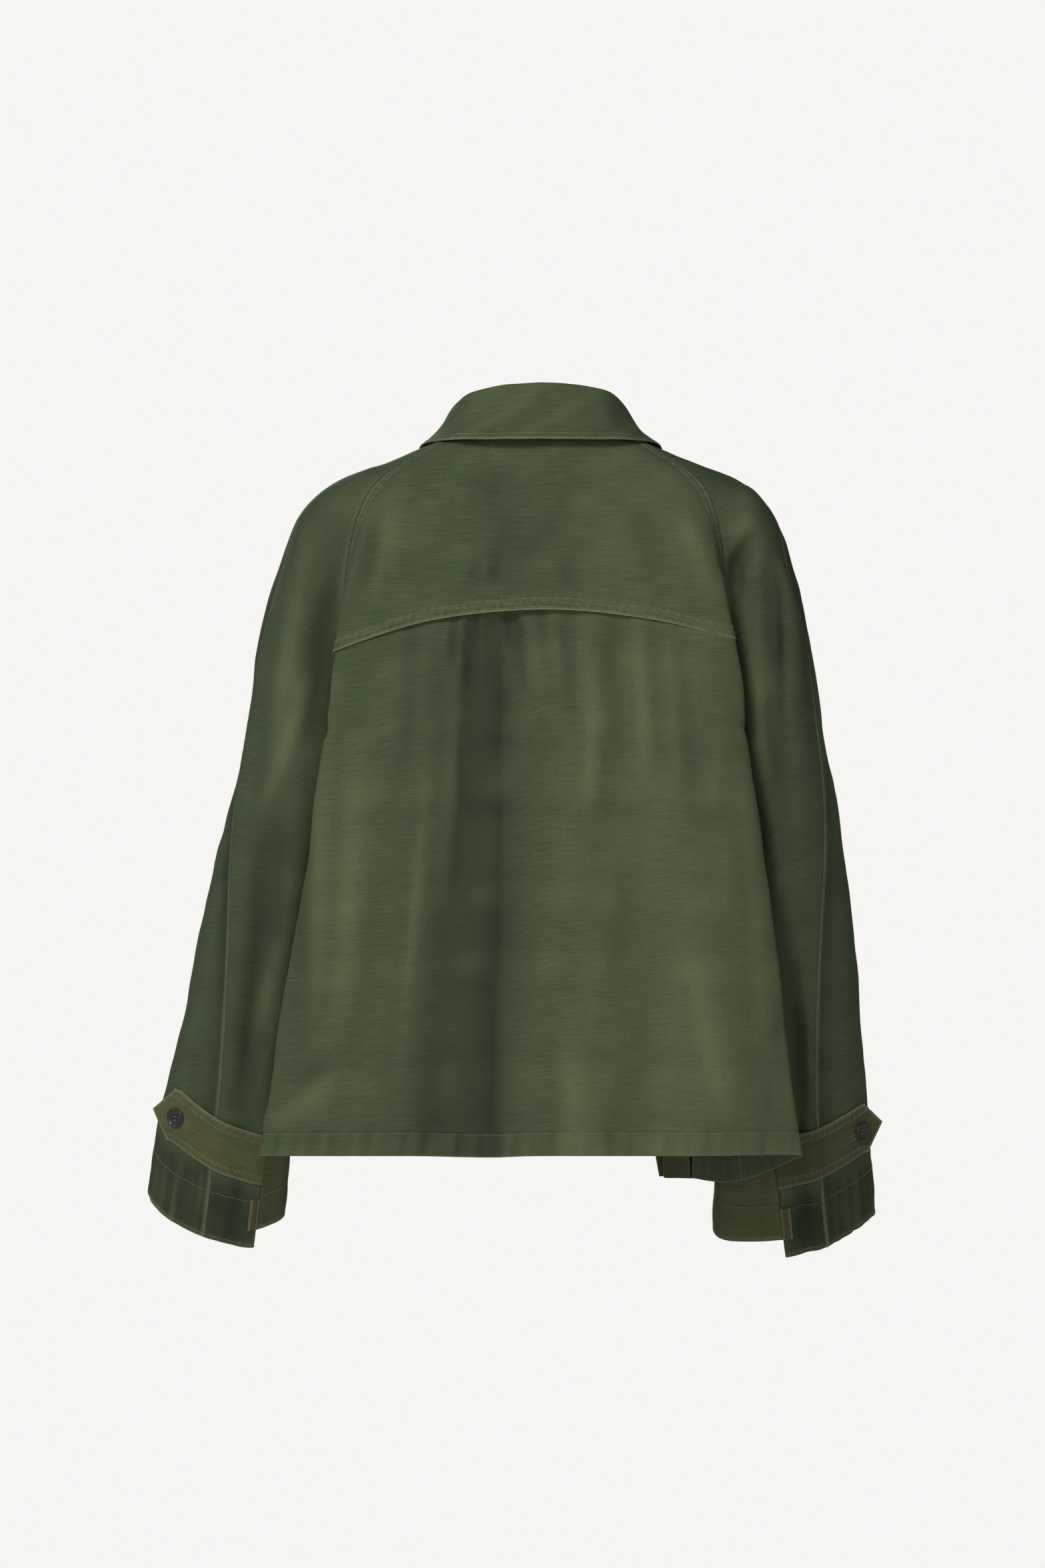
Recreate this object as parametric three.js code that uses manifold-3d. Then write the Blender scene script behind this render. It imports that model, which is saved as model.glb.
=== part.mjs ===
// A short A-line field jacket with raglan sleeves, in the hollow shape that it has when worn,
// hanging open at the front. Millimetres, +Z up. The wearer faces -Y and has the left hand
// at +X. The origin is the middle of the neck, level with the back neck seam, where the
// wearer's neck and shoulders carry the jacket.
//
// The cloth is drawn as sections. Each section is one smooth curve through a few named
// points: edge and chest on the front, the raglan seams, the sleeve, and fold and centre on
// the back. The tables give those points for one half. The other half is their mirror image,
// and the tables named for a side give what differs there.
import * as THREE from "three";
import Module from "manifold-3d";

const CLOTH = 1.5; // one layer of twill with its seam allowances
const DOUBLE_CLOTH = 2.2; // two layers and interfacing, in the collar and the cuff straps
const SEAM_GAP = 0.3; // between neighbouring pieces

const SHELL_GREEN = "#3c4a31";
const TRIM_OLIVE = "#474626";
const BUTTON_BROWN = "#2b2220";

// The body from the neck seam (0) past the yoke's edge (5) and the underarm (6) to the
// hem (8). crisp says how sharply the back panel folds round to the side.
const BODY = [
  { at: 0, crisp: 0, centre: [0, 62, 40], fold: [36, 57, 39], seam: [60, 40, 35],
    frontSeam: [63, -28, 16], chest: [48, -54, -6], edge: [20, -72, -26] },
  { at: 1, crisp: 0, centre: [0, 74, 14], fold: [62, 67, 15], seam: [104, 54, 9],
    frontSeam: [94, -50, -14], chest: [68, -72, -34], edge: [22, -90, -52] },
  { at: 2, crisp: 0, centre: [0, 82, -18], fold: [104, 75, -16], seam: [141, 66, -18],
    frontSeam: [122, -66, -46], chest: [86, -92, -68], edge: [25, -106, -82] },
  { at: 3, crisp: 0.2, centre: [0, 88, -54], fold: [140, 82, -50], seam: [157, 67, -48],
    frontSeam: [141, -70, -84], chest: [108, -108, -106], edge: [29, -120, -118] },
  { at: 4, crisp: 0.6, centre: [0, 91, -92], fold: [160, 82, -100], seam: [167, 52, -98],
    frontSeam: [155, -60, -124], chest: [128, -112, -146], edge: [34, -130, -160] },
  { at: 5, crisp: 1, centre: [0, 94, -133], fold: [176, 76, -166], seam: [171, 32, -166],
    frontSeam: [165, -38, -176], chest: [142, -112, -190], edge: [40, -138, -204] },
  { at: 6, crisp: 1, centre: [0, 98, -212], fold: [182, 72, -226], seam: [171, 15, -232],
    frontSeam: [171, -17, -232], chest: [150, -108, -240], edge: [46, -142, -252] },
  { at: 6.15, crisp: 1, centre: [0, 99, -236], fold: [185, 72, -248], seam: [165, -1, -247],
    frontSeam: [165, -1, -247], chest: [152, -108, -262], edge: [49, -143, -274] },
  { at: 7, crisp: 1, centre: [0, 114, -398], fold: [210, 78, -405], seam: [177, 4, -412],
    frontSeam: [177, 4, -412], chest: [168, -112, -420], edge: [76, -148, -430] },
  { at: 8, crisp: 1, centre: [0, 136, -605], fold: [239, 90, -610], seam: [192, 16, -634],
    frontSeam: [192, 16, -634], chest: [178, -122, -650], edge: [116, -150, -652] },
];
const UNDERARM = 6; // the section where sleeve and body part
const YOKE_EDGE = 5;
const HEM = 8;

// The sleeve's cap, between the same sections 0 to 5 of the two raglan seams.
const CAP = [
  { at: 0, back: [68, 22, 31], over: [72, 6, 27], outer: [73, -4, 24], front: [70, -18, 20] },
  { at: 1, back: [120, 36, 7], over: [126, 8, 5], outer: [126, -8, 1], front: [114, -32, -6] },
  { at: 2, back: [169, 44, -15], over: [180, 8, -14], outer: [178, -14, -18], front: [154, -46, -30] },
  { at: 3, back: [202, 48, -48], over: [213, 12, -46], outer: [214, -16, -50], front: [188, -52, -64] },
  { at: 4, back: [213, 52, -100], over: [227, 20, -97], outer: [235, -14, -98], front: [204, -58, -108] },
  { at: 5, back: [215, 54, -164], over: [243, 18, -160], outer: [249, -14, -160], front: [212, -58, -168] },
];

// The arm of the sleeve from the underarm (6) to the end of the cuff (11), with one row
// above that only steers the curves: rings with their
// centre, half width and half depth, how far they lean out and forwards, and the angle of
// each seam round the ring, in degrees from the outer side towards the back.
const ARM = [
  { at: 5, centre: [204, 4, -150], wide: 45, deep: 55, leanOut: 0, leanForward: 0,
    over: 18, backSeam: 163, frontSeam: -163 },
  { at: 6, centre: [214, -1, -232], wide: 45, deep: 55, leanOut: 0, leanForward: 0,
    over: 18, backSeam: 163, frontSeam: -163 },
  { at: 7, centre: [231, -12, -315], wide: 47, deep: 56, leanOut: 5, leanForward: 7,
    over: 35, backSeam: 150, frontSeam: -152 },
  { at: 8, centre: [248, -34, -424], wide: 51, deep: 55, leanOut: 8, leanForward: 12,
    over: 58, backSeam: 136, frontSeam: -142 },
  { at: 9, centre: [262, -58, -532], wide: 57, deep: 53, leanOut: 10, leanForward: 16,
    over: 68, backSeam: 124, frontSeam: -138 },
  { at: 10, centre: [273, -78, -620], wide: 63, deep: 51, leanOut: 11.5, leanForward: 19,
    over: 69, backSeam: 117, frontSeam: -135 },
  { at: 11, centre: [281, -92, -690], wide: 66, deep: 50, leanOut: 12, leanForward: 21,
    over: 68, backSeam: 114, frontSeam: -135 },
];
const CUFF_END = 11;

// What differs between the sides: where the cuff and the hem hang, how far the sleeve has
// turned round the arm and its overarm seam round the sleeve, in degrees, how far the arm
// dents the front's side, and how far up the strap sits at its two ends.
const SIDES = {
  left: { sign: 1, cuff: [15, 4, 3], widen: 0, twist: 14, overTurn: 4, chestAtHem: [10, 0, 20],
    edgeAtHem: [6, 0, 22], seamAtHem: [6, 0, 18], foldAtHem: [4, 0, 0], dent: 4,
    yokeEnd: [0, 0, -3], strapRise: [9, 27] },
  right: { sign: -1, cuff: [-41, 14, -6], widen: 12, twist: -16, overTurn: 18,
    chestAtHem: [-44, 0, -4], edgeAtHem: [4, 0, -4], seamAtHem: [-8, 6, -6],
    foldAtHem: [-4, 0, 0], dent: 14, yokeEnd: [0, 0, 8], strapRise: [14, 16] },
};
const SWAY = 6; // the body hangs this far to the left of the neck
const SWAY_BY = 5.5; // and does so from this section down

// Soft folds that stand out (+) or sink in (-) along the cloth, by their place across the
// back in mm from its centre at the yoke and at the hem, half width, depth, first and last
// section.
const BACK_FOLDS = [
  { x: 34, hemX: 62, half: 26, depth: -9, from: 4.9, to: 8.4 },
  { x: 92, hemX: 128, half: 34, depth: 7, from: 5.2, to: 8.6 },
  { x: -26, hemX: -24, half: 34, depth: 7, from: 5, to: 8.6 },
  { x: -86, hemX: -104, half: 26, depth: -6, from: 4.9, to: 8.6 },
  { x: -132, hemX: -164, half: 26, depth: 6, from: 5.3, to: 8.6 },
  { x: 140, hemX: 186, half: 22, depth: -6, from: 5.2, to: 8.6 },
];
// Small gathers that the yoke's seam lets out, in mm across the back.
const YOKE_GATHERS = { places: [58, 36, 20, -30, -84], half: 7, depth: -3, reach: 0.75 };
const YOKE_HOLLOWS = [
  { x: 30, hemX: 30, half: 30, depth: -4, from: 1.6, to: 5.4 },
  { x: -58, hemX: -58, half: 26, depth: -3, from: 1.2, to: 4.6 },
];
// Folds on the front, from the chest to the hem, by their share of the way from the side
// seam (0) to the front edge (1).
const FRONT_FOLDS = [
  { share: 0.3, half: 0.12, depth: 7, from: 6, to: 8.6 },
  { share: 0.55, half: 0.1, depth: -7, from: 5.4, to: 8.6 },
  { share: 0.78, half: 0.1, depth: 6, from: 5, to: 8.6 },
];
// Folds along the back of the sleeve, by their share of the way from the back seam (0) to
// the overarm seam (1).
const SLEEVE_FOLDS = {
  left: [{ share: 0.5, half: 0.2, depth: -7, from: 3.4, to: 10.4 }],
  right: [
    { share: 0.42, half: 0.16, depth: -8, from: 3.2, to: 7.2 },
    { share: 0.7, half: 0.16, depth: 6, from: 3.6, to: 8 },
    { share: 0.55, half: 0.2, depth: -5, from: 8, to: 11.5 },
  ],
};

const COLLAR = {
  // from the back (0) to the front end (1), along the neck seam: the stand's height and the
  // place of the fall's outer edge
  rows: [
    { at: 0, stand: 28, edge: [0, 88, 17] },
    { at: 0.16, stand: 27, edge: [42, 85, 17] },
    { at: 0.32, stand: 26, edge: [82, 68, 18] },
    { at: 0.48, stand: 25, edge: [107, 20, 17] },
    { at: 0.66, stand: 25, edge: [106, -42, 2] },
    { at: 0.84, stand: 25, edge: [86, -90, -32] },
    { at: 1, stand: 24, edge: [56, -112, -64] },
  ],
  lean: 4, // the stand's top is this much nearer to the neck than its foot
  roll: 4.5, // height of the turn over the stand
  clear: 1.1, // from the neck seam to the stand, and from the stand to the fall
};

const STRAP = { top: 9.74, bottom: 10.28, length: 112, tip: 15, lift: 7 };
const VENT = { short: 17, width: 8, length: 30 }; // length is up from the under panel's end
const BUTTON = { radius: 9, thick: 3, rim: 1.6, hole: 1, holeSpread: 2.2, fromTip: 21, sides: 16 };
const FRONT_BUTTONS = { rows: [2, 6, 11, 14, 17], inset: 17 }; // rows of the front's grid
const FACING_COLUMNS = 6; // of the front's grid, counted from its edge

const vector = (p) => new THREE.Vector3(...p);
const smooth = (from, to, x) => THREE.MathUtils.smoothstep(x, from, to);
const radians = THREE.MathUtils.degToRad;

/** A number at `at` from a table's column, by a cubic through its rows. */
function cubic(rows, column, at) {
  const last = rows.length - 1;
  const found = rows.findIndex((row) => row.at >= at);
  const i = THREE.MathUtils.clamp(found < 0 ? last : found, 1, last) - 1;
  const value = (k) => column(rows[k]);
  const slope = (k) => {
    const a = Math.max(k - 1, 0);
    const b = Math.min(k + 1, last);
    return (value(b) - value(a)) / (rows[b].at - rows[a].at);
  };
  const step = rows[i + 1].at - rows[i].at;
  const s = THREE.MathUtils.clamp((at - rows[i].at) / step, 0, 1);
  const rise = value(i + 1) - value(i);
  const [m0, m1] = [slope(i) * step, slope(i + 1) * step];
  return value(i) + s * (m0 + s * (3 * rise - 2 * m0 - m1 + s * (m0 + m1 - 2 * rise)));
}

/** A point at `at` from a table's column of points. */
function pointAt(rows, name, at) {
  return vector([0, 1, 2].map((k) => cubic(rows, (row) => row[name][k], at)));
}

/** Puts a point of the half that the tables give on its side of the jacket. */
function place(side, at, point) {
  const sway = SWAY * smooth(0, SWAY_BY, at);
  return new THREE.Vector3(SIDES[side].sign * point.x + sway, point.y, point.z);
}

/** The named points of the body at a section, on one side. */
function bodyPoints(side, at) {
  const half = SIDES[side];
  const hang = smooth(UNDERARM, HEM, at);
  const named = {};
  for (const name of ["centre", "fold", "seam", "frontSeam", "chest", "edge"]) {
    named[name] = pointAt(BODY, name, at);
  }
  named.chest.addScaledVector(vector(half.chestAtHem), hang);
  named.edge.addScaledVector(vector(half.edgeAtHem), hang);
  named.fold.addScaledVector(vector(half.foldAtHem), hang);
  named.seam.addScaledVector(vector(half.seamAtHem), hang);
  named.frontSeam.addScaledVector(vector(half.seamAtHem), hang);
  // Between centre and fold the back is a shallow arch, and past the fold it turns in.
  const nearYokeEdge = smooth(3.6, YOKE_EDGE, at) * (1 - smooth(YOKE_EDGE, UNDERARM, at));
  named.fold.addScaledVector(vector(half.yokeEnd), nearYokeEdge);
  named.seam.addScaledVector(vector(half.yokeEnd), nearYokeEdge);
  named.blade = named.centre.clone().lerp(named.fold, 0.55);
  named.blade.y = THREE.MathUtils.lerp(named.centre.y, named.fold.y, 0.28);
  named.blade.z = THREE.MathUtils.lerp(named.centre.z, named.fold.z, 0.3);
  const soft = named.fold.clone().lerp(named.seam, 0.5).add(vector([2, 3, 0]));
  const sharp = named.fold.clone().lerp(named.seam, 0.16).add(vector([1, -1, 0]));
  named.turn = soft.lerp(sharp, cubic(BODY, (row) => row.crisp, at));
  named.breast = named.chest.clone().lerp(named.edge, 0.5);
  named.breast.y -= 8 * smooth(0, 4, at);
  named.side = named.frontSeam.clone().lerp(named.chest, 0.5);
  named.side.x += 6 * (1 - hang) - half.dent * hang;
  named.side.y -= 8 * (1 - hang);
  for (const name of Object.keys(named)) named[name] = place(side, at, named[name]);
  return named;
}

/** The named points of a sleeve at a section. Below the underarm they lie on a leaning ring. */
function sleevePoints(side, at) {
  const named = {};
  if (at < UNDERARM) {
    const rings = [UNDERARM, UNDERARM + 1].map((at) => ({ at, ...armPoints(side, at) }));
    const rows = [...CAP, ...rings];
    for (const name of ["back", "over", "outer", "front"]) {
      named[name] = place(side, at, pointAt(rows, name, at));
    }
    return named;
  }
  const ring = armPoints(side, at);
  for (const name of Object.keys(ring)) named[name] = place(side, at, vector(ring[name]));
  return named;
}

/** A ring of the arm, as points of the half that the tables give. */
function armPoints(side, at) {
  const half = SIDES[side];
  const column = (name) => cubic(ARM, (row) => row[name], at);
  const hang = smooth(UNDERARM, CUFF_END, at) ** 1.3;
  const centre = pointAt(ARM, "centre", at).addScaledVector(vector(half.cuff), hang);
  const [out, forward] = [radians(column("leanOut")), radians(column("leanForward"))];
  const across = vector([Math.cos(out), 0, Math.sin(out)]);
  const backwards = vector([0, Math.cos(forward), -Math.sin(forward)]);
  const turned = half.twist * hang;
  const onRing = (degrees) => {
    const angle = radians(degrees + turned);
    return centre
      .clone()
      .addScaledVector(across, (column("wide") + half.widen * hang) * Math.cos(angle))
      .addScaledVector(backwards, column("deep") * Math.sin(angle))
      .toArray();
  };
  const [over, backSeam, frontSeam] = ["over", "backSeam", "frontSeam"].map(column);
  const overarm = over + half.overTurn;
  return {
    backSeam: onRing(backSeam),
    back: onRing((backSeam + overarm) / 2),
    over: onRing(overarm),
    outer: onRing(overarm + (frontSeam - overarm) / 3),
    front: onRing(overarm + (2 * (frontSeam - overarm)) / 3),
    frontSeam: onRing(frontSeam),
    under: onRing(180 + (backSeam + frontSeam) / 2),
  };
}

/** The whole section above the underarm, from the left front edge round to the right one. */
function upperSection(at) {
  const side = (name) => {
    const body = bodyPoints(name, at);
    const sleeve = sleevePoints(name, at);
    return {
      edge: body.edge, breast: body.breast, chest: body.chest, side: body.side,
      frontSeam: body.frontSeam,
      front: sleeve.front, outer: sleeve.outer, over: sleeve.over, back: sleeve.back,
      seam: body.seam, turn: body.turn, fold: body.fold, blade: body.blade,
      centre: body.centre,
    };
  };
  return section(side("left"), side("right"));
}

/** The body's section below the underarm. */
function lowerSection(at) {
  const side = (name) => {
    const body = bodyPoints(name, at);
    return {
      edge: body.edge, breast: body.breast, chest: body.chest, side: body.side, seam: body.seam,
      turn: body.turn, fold: body.fold, blade: body.blade, centre: body.centre,
    };
  };
  return section(side("left"), side("right"));
}

/** A section's curve and the index of each named point on it, as "left.seam" and so on. */
function section(left, right) {
  const names = Object.keys(left);
  const points = names.map((name) => left[name]);
  const index = Object.fromEntries(names.map((name, i) => ["left." + name, i]));
  names
    .slice(0, -1)
    .reverse()
    .forEach((name) => {
      index["right." + name] = points.length;
      points.push(right[name]);
    });
  index["right.centre"] = index["left.centre"];
  const curve = new THREE.CatmullRomCurve3(points, false, "centripetal");
  return { index, spans: points.length - 1, curve };
}

/** The sleeve's closed section below the underarm, counter-clockwise from above. */
function armSection(side, at) {
  const named = sleevePoints(side, at);
  const order = ["frontSeam", "front", "outer", "over", "back", "backSeam", "under"];
  const names = side === "left" ? order : [...order.slice(0, -1).reverse(), "under"];
  const curve = new THREE.CatmullRomCurve3(
    names.map((name) => named[name]),
    true,
    "centripetal",
  );
  return {
    index: Object.fromEntries(names.map((name, i) => [name, i])),
    spans: names.length,
    curve,
  };
}

/** Points of a section from one named point to another, with `steps` in each span between. */
function along(cut, from, to, steps) {
  const first = cut.index[from];
  const last = cut.index[to] <= first ? cut.index[to] + cut.spans : cut.index[to];
  const points = [];
  for (let i = 0; i < last - first; i++) {
    for (let k = 0; k < steps[i]; k++) {
      points.push(cut.curve.getPoint((((first + i + k / steps[i]) / cut.spans) % 1) || 0));
    }
  }
  points.push(cut.curve.getPoint(last === cut.spans ? 1 : (last / cut.spans) % 1));
  return points;
}

/** Evenly spaced numbers from a to b, both included. */
const evenly = (a, b, steps) =>
  Array.from({ length: steps + 1 }, (_, i) => a + ((b - a) * i) / steps);

/** The outward normal at each point of a grid, whose rows run down and columns run round. */
function normalsOf(grid) {
  const rows = grid.length - 1;
  const columns = grid[0].length - 1;
  return grid.map((row, i) =>
    row.map((_, j) => {
      const down = grid[Math.min(i + 1, rows)][j].clone().sub(grid[Math.max(i - 1, 0)][j]);
      const round = row[Math.min(j + 1, columns)].clone().sub(row[Math.max(j - 1, 0)]);
      return down.cross(round).normalize();
    }),
  );
}

/** A cloth panel: its grid of outer points and their normals. */
function panel(grid) {
  return { grid, normals: normalsOf(grid) };
}

/** Moves a panel's points along its normals, by height(row, column, point). */
function raise(cloth, height) {
  const { grid, normals } = cloth;
  return panel(
    grid.map((row, i) =>
      row.map((p, j) => p.clone().addScaledVector(normals[i][j], height(i, j, p))),
    ),
  );
}

/** Gives two columns that are sewn together the same normals, so that their walls mitre. */
function sew(a, columnA, b, columnB, rows, rowB = (i) => i) {
  rows.forEach((i) => {
    const j = columnA < 0 ? a.grid[i].length - 1 : columnA;
    const k = columnB < 0 ? b.grid[rowB(i)].length - 1 : columnB;
    const shared = a.normals[i][j].clone().add(b.normals[rowB(i)][k]).normalize();
    a.normals[i][j] = shared;
    b.normals[rowB(i)][k] = shared.clone();
  });
}

/** The closed wall of a panel, from `out` above its surface to `thick` below that. */
function wall(cloth, { thick = CLOTH, out = 0, trim = SEAM_GAP / 2 } = {}) {
  const { grid, normals } = cloth;
  const rows = grid.length;
  const columns = grid[0].length;
  const inset = (p, towards) => {
    const way = towards.clone().sub(p);
    return p.clone().addScaledVector(way.normalize(), trim);
  };
  const trimmed = grid.map((row) => [
    inset(row[0], row[1]),
    ...row.slice(1, -1),
    inset(row[columns - 1], row[columns - 2]),
  ]);
  const top = trimmed[0].map((p, j) => inset(p, trimmed[1][j]));
  const bottom = trimmed[rows - 1].map((p, j) => inset(p, trimmed[rows - 2][j]));
  const outer = [top, ...trimmed.slice(1, -1), bottom];
  const positions = [];
  for (const depth of [out, out - thick]) {
    outer.forEach((row, i) =>
      row.forEach((p, j) => {
        positions.push(...p.clone().addScaledVector(normals[i][j], depth).toArray());
      }),
    );
  }
  const inner = rows * columns;
  const at = (i, j) => i * columns + j;
  const faces = [];
  const quad = (a, b, c, d) => faces.push(a, b, c, a, c, d);
  for (let i = 0; i < rows - 1; i++) {
    for (let j = 0; j < columns - 1; j++) {
      const [a, b, c, d] = [at(i, j), at(i + 1, j), at(i + 1, j + 1), at(i, j + 1)];
      quad(a, b, c, d);
      quad(inner + a, inner + d, inner + c, inner + b);
    }
  }
  const rim = (a, b) => quad(a, b, inner + b, inner + a);
  for (let i = 0; i < rows - 1; i++) {
    rim(at(i + 1, 0), at(i, 0));
    rim(at(i, columns - 1), at(i + 1, columns - 1));
  }
  for (let j = 0; j < columns - 1; j++) {
    rim(at(0, j), at(0, j + 1));
    rim(at(rows - 1, j + 1), at(rows - 1, j));
  }
  const geometry = new THREE.BufferGeometry();
  geometry.setAttribute("position", new THREE.Float32BufferAttribute(positions, 3));
  geometry.setIndex(faces);
  return geometry;
}

/** How far a fold lifts the cloth at a distance from its ridge. */
const bump = (distance, half) => Math.exp(-((distance / half) ** 2));

/** Folds in and out at their two ends, over half a section. */
const between = (at, from, to) => smooth(from, from + 0.5, at) * (1 - smooth(to - 0.5, to, at));

/** The back's folds: their height at a place of the cloth. */
function backRelief(at, x, folds) {
  const share = THREE.MathUtils.clamp((at - YOKE_EDGE) / (HEM - YOKE_EDGE), 0, 1);
  return folds.reduce((sum, fold) => {
    const ridge = THREE.MathUtils.lerp(fold.x, fold.hemX, share) + SWAY;
    const grow = between(at, fold.from, fold.to);
    return sum + fold.depth * grow * bump(x - ridge, fold.half * (1 + 0.5 * share));
  }, 0);
}

/** The gathers below the yoke: short and narrow, and gone by `reach` sections. */
function gatherRelief(at, x) {
  const fade = 1 - smooth(YOKE_EDGE, YOKE_EDGE + YOKE_GATHERS.reach, at);
  return YOKE_GATHERS.places.reduce(
    (sum, place) => sum + YOKE_GATHERS.depth * fade * bump(x - place - SWAY, YOKE_GATHERS.half),
    0,
  );
}

/** The height of folds that are placed by their share of a row. */
function shareRelief(at, share, folds) {
  return folds.reduce(
    (sum, f) => sum + f.depth * between(at, f.from, f.to) * bump(share - f.share, f.half),
    0,
  );
}

/** 0 at both ends of a row and 1 away from them, so that folds end before the seams. */
const insideRow = (share) => smooth(0, 0.1, share) * (1 - smooth(0.9, 1, share));

// Rows are sections. Seams that are sewn together have the same rows.
const TUCK_END = 4.72; // the back panel's upper edge, behind the yoke
const upperRows = [0, 0.5, 1, 1.5, 2, 2.5, 3, 3.5, 4, 4.4, TUCK_END, YOKE_EDGE, 5.5, UNDERARM];
const lowerRows = [6.15, 6.45, 6.75, 7, 7.25, 7.5, 7.75, HEM];
const bodyRows = [...upperRows, ...lowerRows];
// The under panel ends short of the cuff, and its side seams are open there as a vent.
const lastArmStep = pointAt(ARM, "centre", 11).distanceTo(pointAt(ARM, "centre", 10));
const underEnd = CUFF_END - VENT.short / lastArmStep;
const armRows = [6.25, 6.6, 7, 7.4, 7.8, 8.2, 8.6, 9, 9.4, 9.8, 10.2, 10.5, underEnd, CUFF_END];

const bodySection = (at) => (at <= UNDERARM ? upperSection(at) : lowerSection(at));

/** A panel whose rows go from one named point to another at each of its sections. */
function panelOver(rows, sectionOf, from, to, steps) {
  return panel(rows.map((at) => along(sectionOf(at), from, to, steps)));
}

const BACK_STEPS = [2, 3, 6, 6, 6, 6, 3, 2];

function makeYoke() {
  const rows = upperRows.filter((at) => at <= YOKE_EDGE);
  const flat = panelOver(rows, upperSection, "left.seam", "right.seam", BACK_STEPS);
  const count = flat.grid[0].length - 1;
  return raise(flat, (i, j, p) => backRelief(rows[i], p.x, YOKE_HOLLOWS) * insideRow(j / count));
}

const backPanelRows = bodyRows.filter((at) => at >= TUCK_END);

function makeBackPanel() {
  const flat = panelOver(backPanelRows, bodySection, "left.seam", "right.seam", BACK_STEPS);
  const count = flat.grid[0].length - 1;
  return raise(flat, (i, j, p) => {
    const at = backPanelRows[i];
    const tucked = (CLOTH + SEAM_GAP) * (1 - smooth(YOKE_EDGE, YOKE_EDGE + 0.6, at));
    const folds = backRelief(at, p.x, BACK_FOLDS) + gatherRelief(at, p.x);
    const hollows = backRelief(at, p.x, YOKE_HOLLOWS);
    const free = smooth(YOKE_EDGE, YOKE_EDGE + 0.25, at);
    return (folds * free + hollows) * insideRow(j / count) - tucked;
  });
}

const FRONT_STEPS = [3, 3, 3, 4]; // from the side to the edge

function makeFront(side) {
  const steps = side === "left" ? [...FRONT_STEPS].reverse() : FRONT_STEPS;
  const ends = (at) => {
    const seam = at <= UNDERARM ? side + ".frontSeam" : side + ".seam";
    return side === "left" ? [side + ".edge", seam] : [seam, side + ".edge"];
  };
  const flat = panel(bodyRows.map((at) => along(bodySection(at), ...ends(at), steps)));
  const count = flat.grid[0].length - 1;
  return raise(flat, (i, j) => {
    const share = side === "left" ? 1 - j / count : j / count;
    return shareRelief(bodyRows[i], share, FRONT_FOLDS) * insideRow(share);
  });
}

const sleeveRows = [...upperRows, ...armRows];

/** The back half of a sleeve, between the back raglan seam and the overarm seam. */
function makeSleeveBack(side) {
  const steps = [4, 4];
  const flat = panel(
    sleeveRows.map((at) => {
      const upper = at <= UNDERARM;
      const cut = upper ? upperSection(at) : armSection(side, at);
      const ends = upper ? [side + ".over", side + ".seam"] : ["over", "backSeam"];
      return along(cut, ...(side === "left" ? ends : ends.reverse()), steps);
    }),
  );
  const count = flat.grid[0].length - 1;
  return raise(flat, (i, j) => {
    const share = side === "left" ? 1 - j / count : j / count;
    return shareRelief(sleeveRows[i], share, SLEEVE_FOLDS[side]) * insideRow(share);
  });
}

/** The front half of a sleeve, between the overarm seam and the front raglan seam. */
function makeSleeveFront(side) {
  const steps = [3, 3, 3];
  return panel(
    sleeveRows.map((at) => {
      const upper = at <= UNDERARM;
      const cut = upper ? upperSection(at) : armSection(side, at);
      const ends = upper ? [side + ".frontSeam", side + ".over"] : ["frontSeam", "over"];
      return along(cut, ...(side === "left" ? ends : ends.reverse()), steps);
    }),
  );
}

const UNDER_DROP = 0.3; // of its first row's height, between its top and the underarm
const underRows = [UNDERARM, ...armRows.filter((at) => at <= underEnd)];

function makeSleeveUnder(side) {
  const ends = side === "left" ? ["backSeam", "frontSeam"] : ["frontSeam", "backSeam"];
  const grid = underRows.map((at) => along(armSection(side, at), ...ends, [4, 4]));
  // At the top it stops short of the corner where the body's seams meet the sleeve's.
  grid[0] = grid[0].map((p, j) => p.clone().lerp(grid[1][j], UNDER_DROP));
  const corners = [[grid[0][0], grid[0][1]], [grid[0].at(-1), grid[0].at(-2)]];
  const inwards = corners.map(([p, next]) => next.clone().sub(p).setLength(4 * SEAM_GAP));
  corners.forEach(([p], i) => p.add(inwards[i]));
  return panel(grid);
}

/** The strap over the back of the cuff: sewn in at the back seam, buttoned near its point. */
function strapPath(side, at, reach) {
  const cut = armSection(side, at);
  const direction = side === "left" ? -1 : 1;
  const seam = cut.index.backSeam;
  const fine = 24;
  let travelled = 0;
  let last = cut.curve.getPoint(seam / cut.spans);
  for (let k = 1; k < cut.spans * fine; k++) {
    const turn = (((seam + (direction * k) / fine) / cut.spans) % 1) + 1;
    const next = cut.curve.getPoint(turn % 1);
    const step = next.distanceTo(last);
    if (travelled + step >= reach) {
      return last.clone().lerp(next, (reach - travelled) / step);
    }
    travelled += step;
    last = next;
  }
  return last;
}

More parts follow.
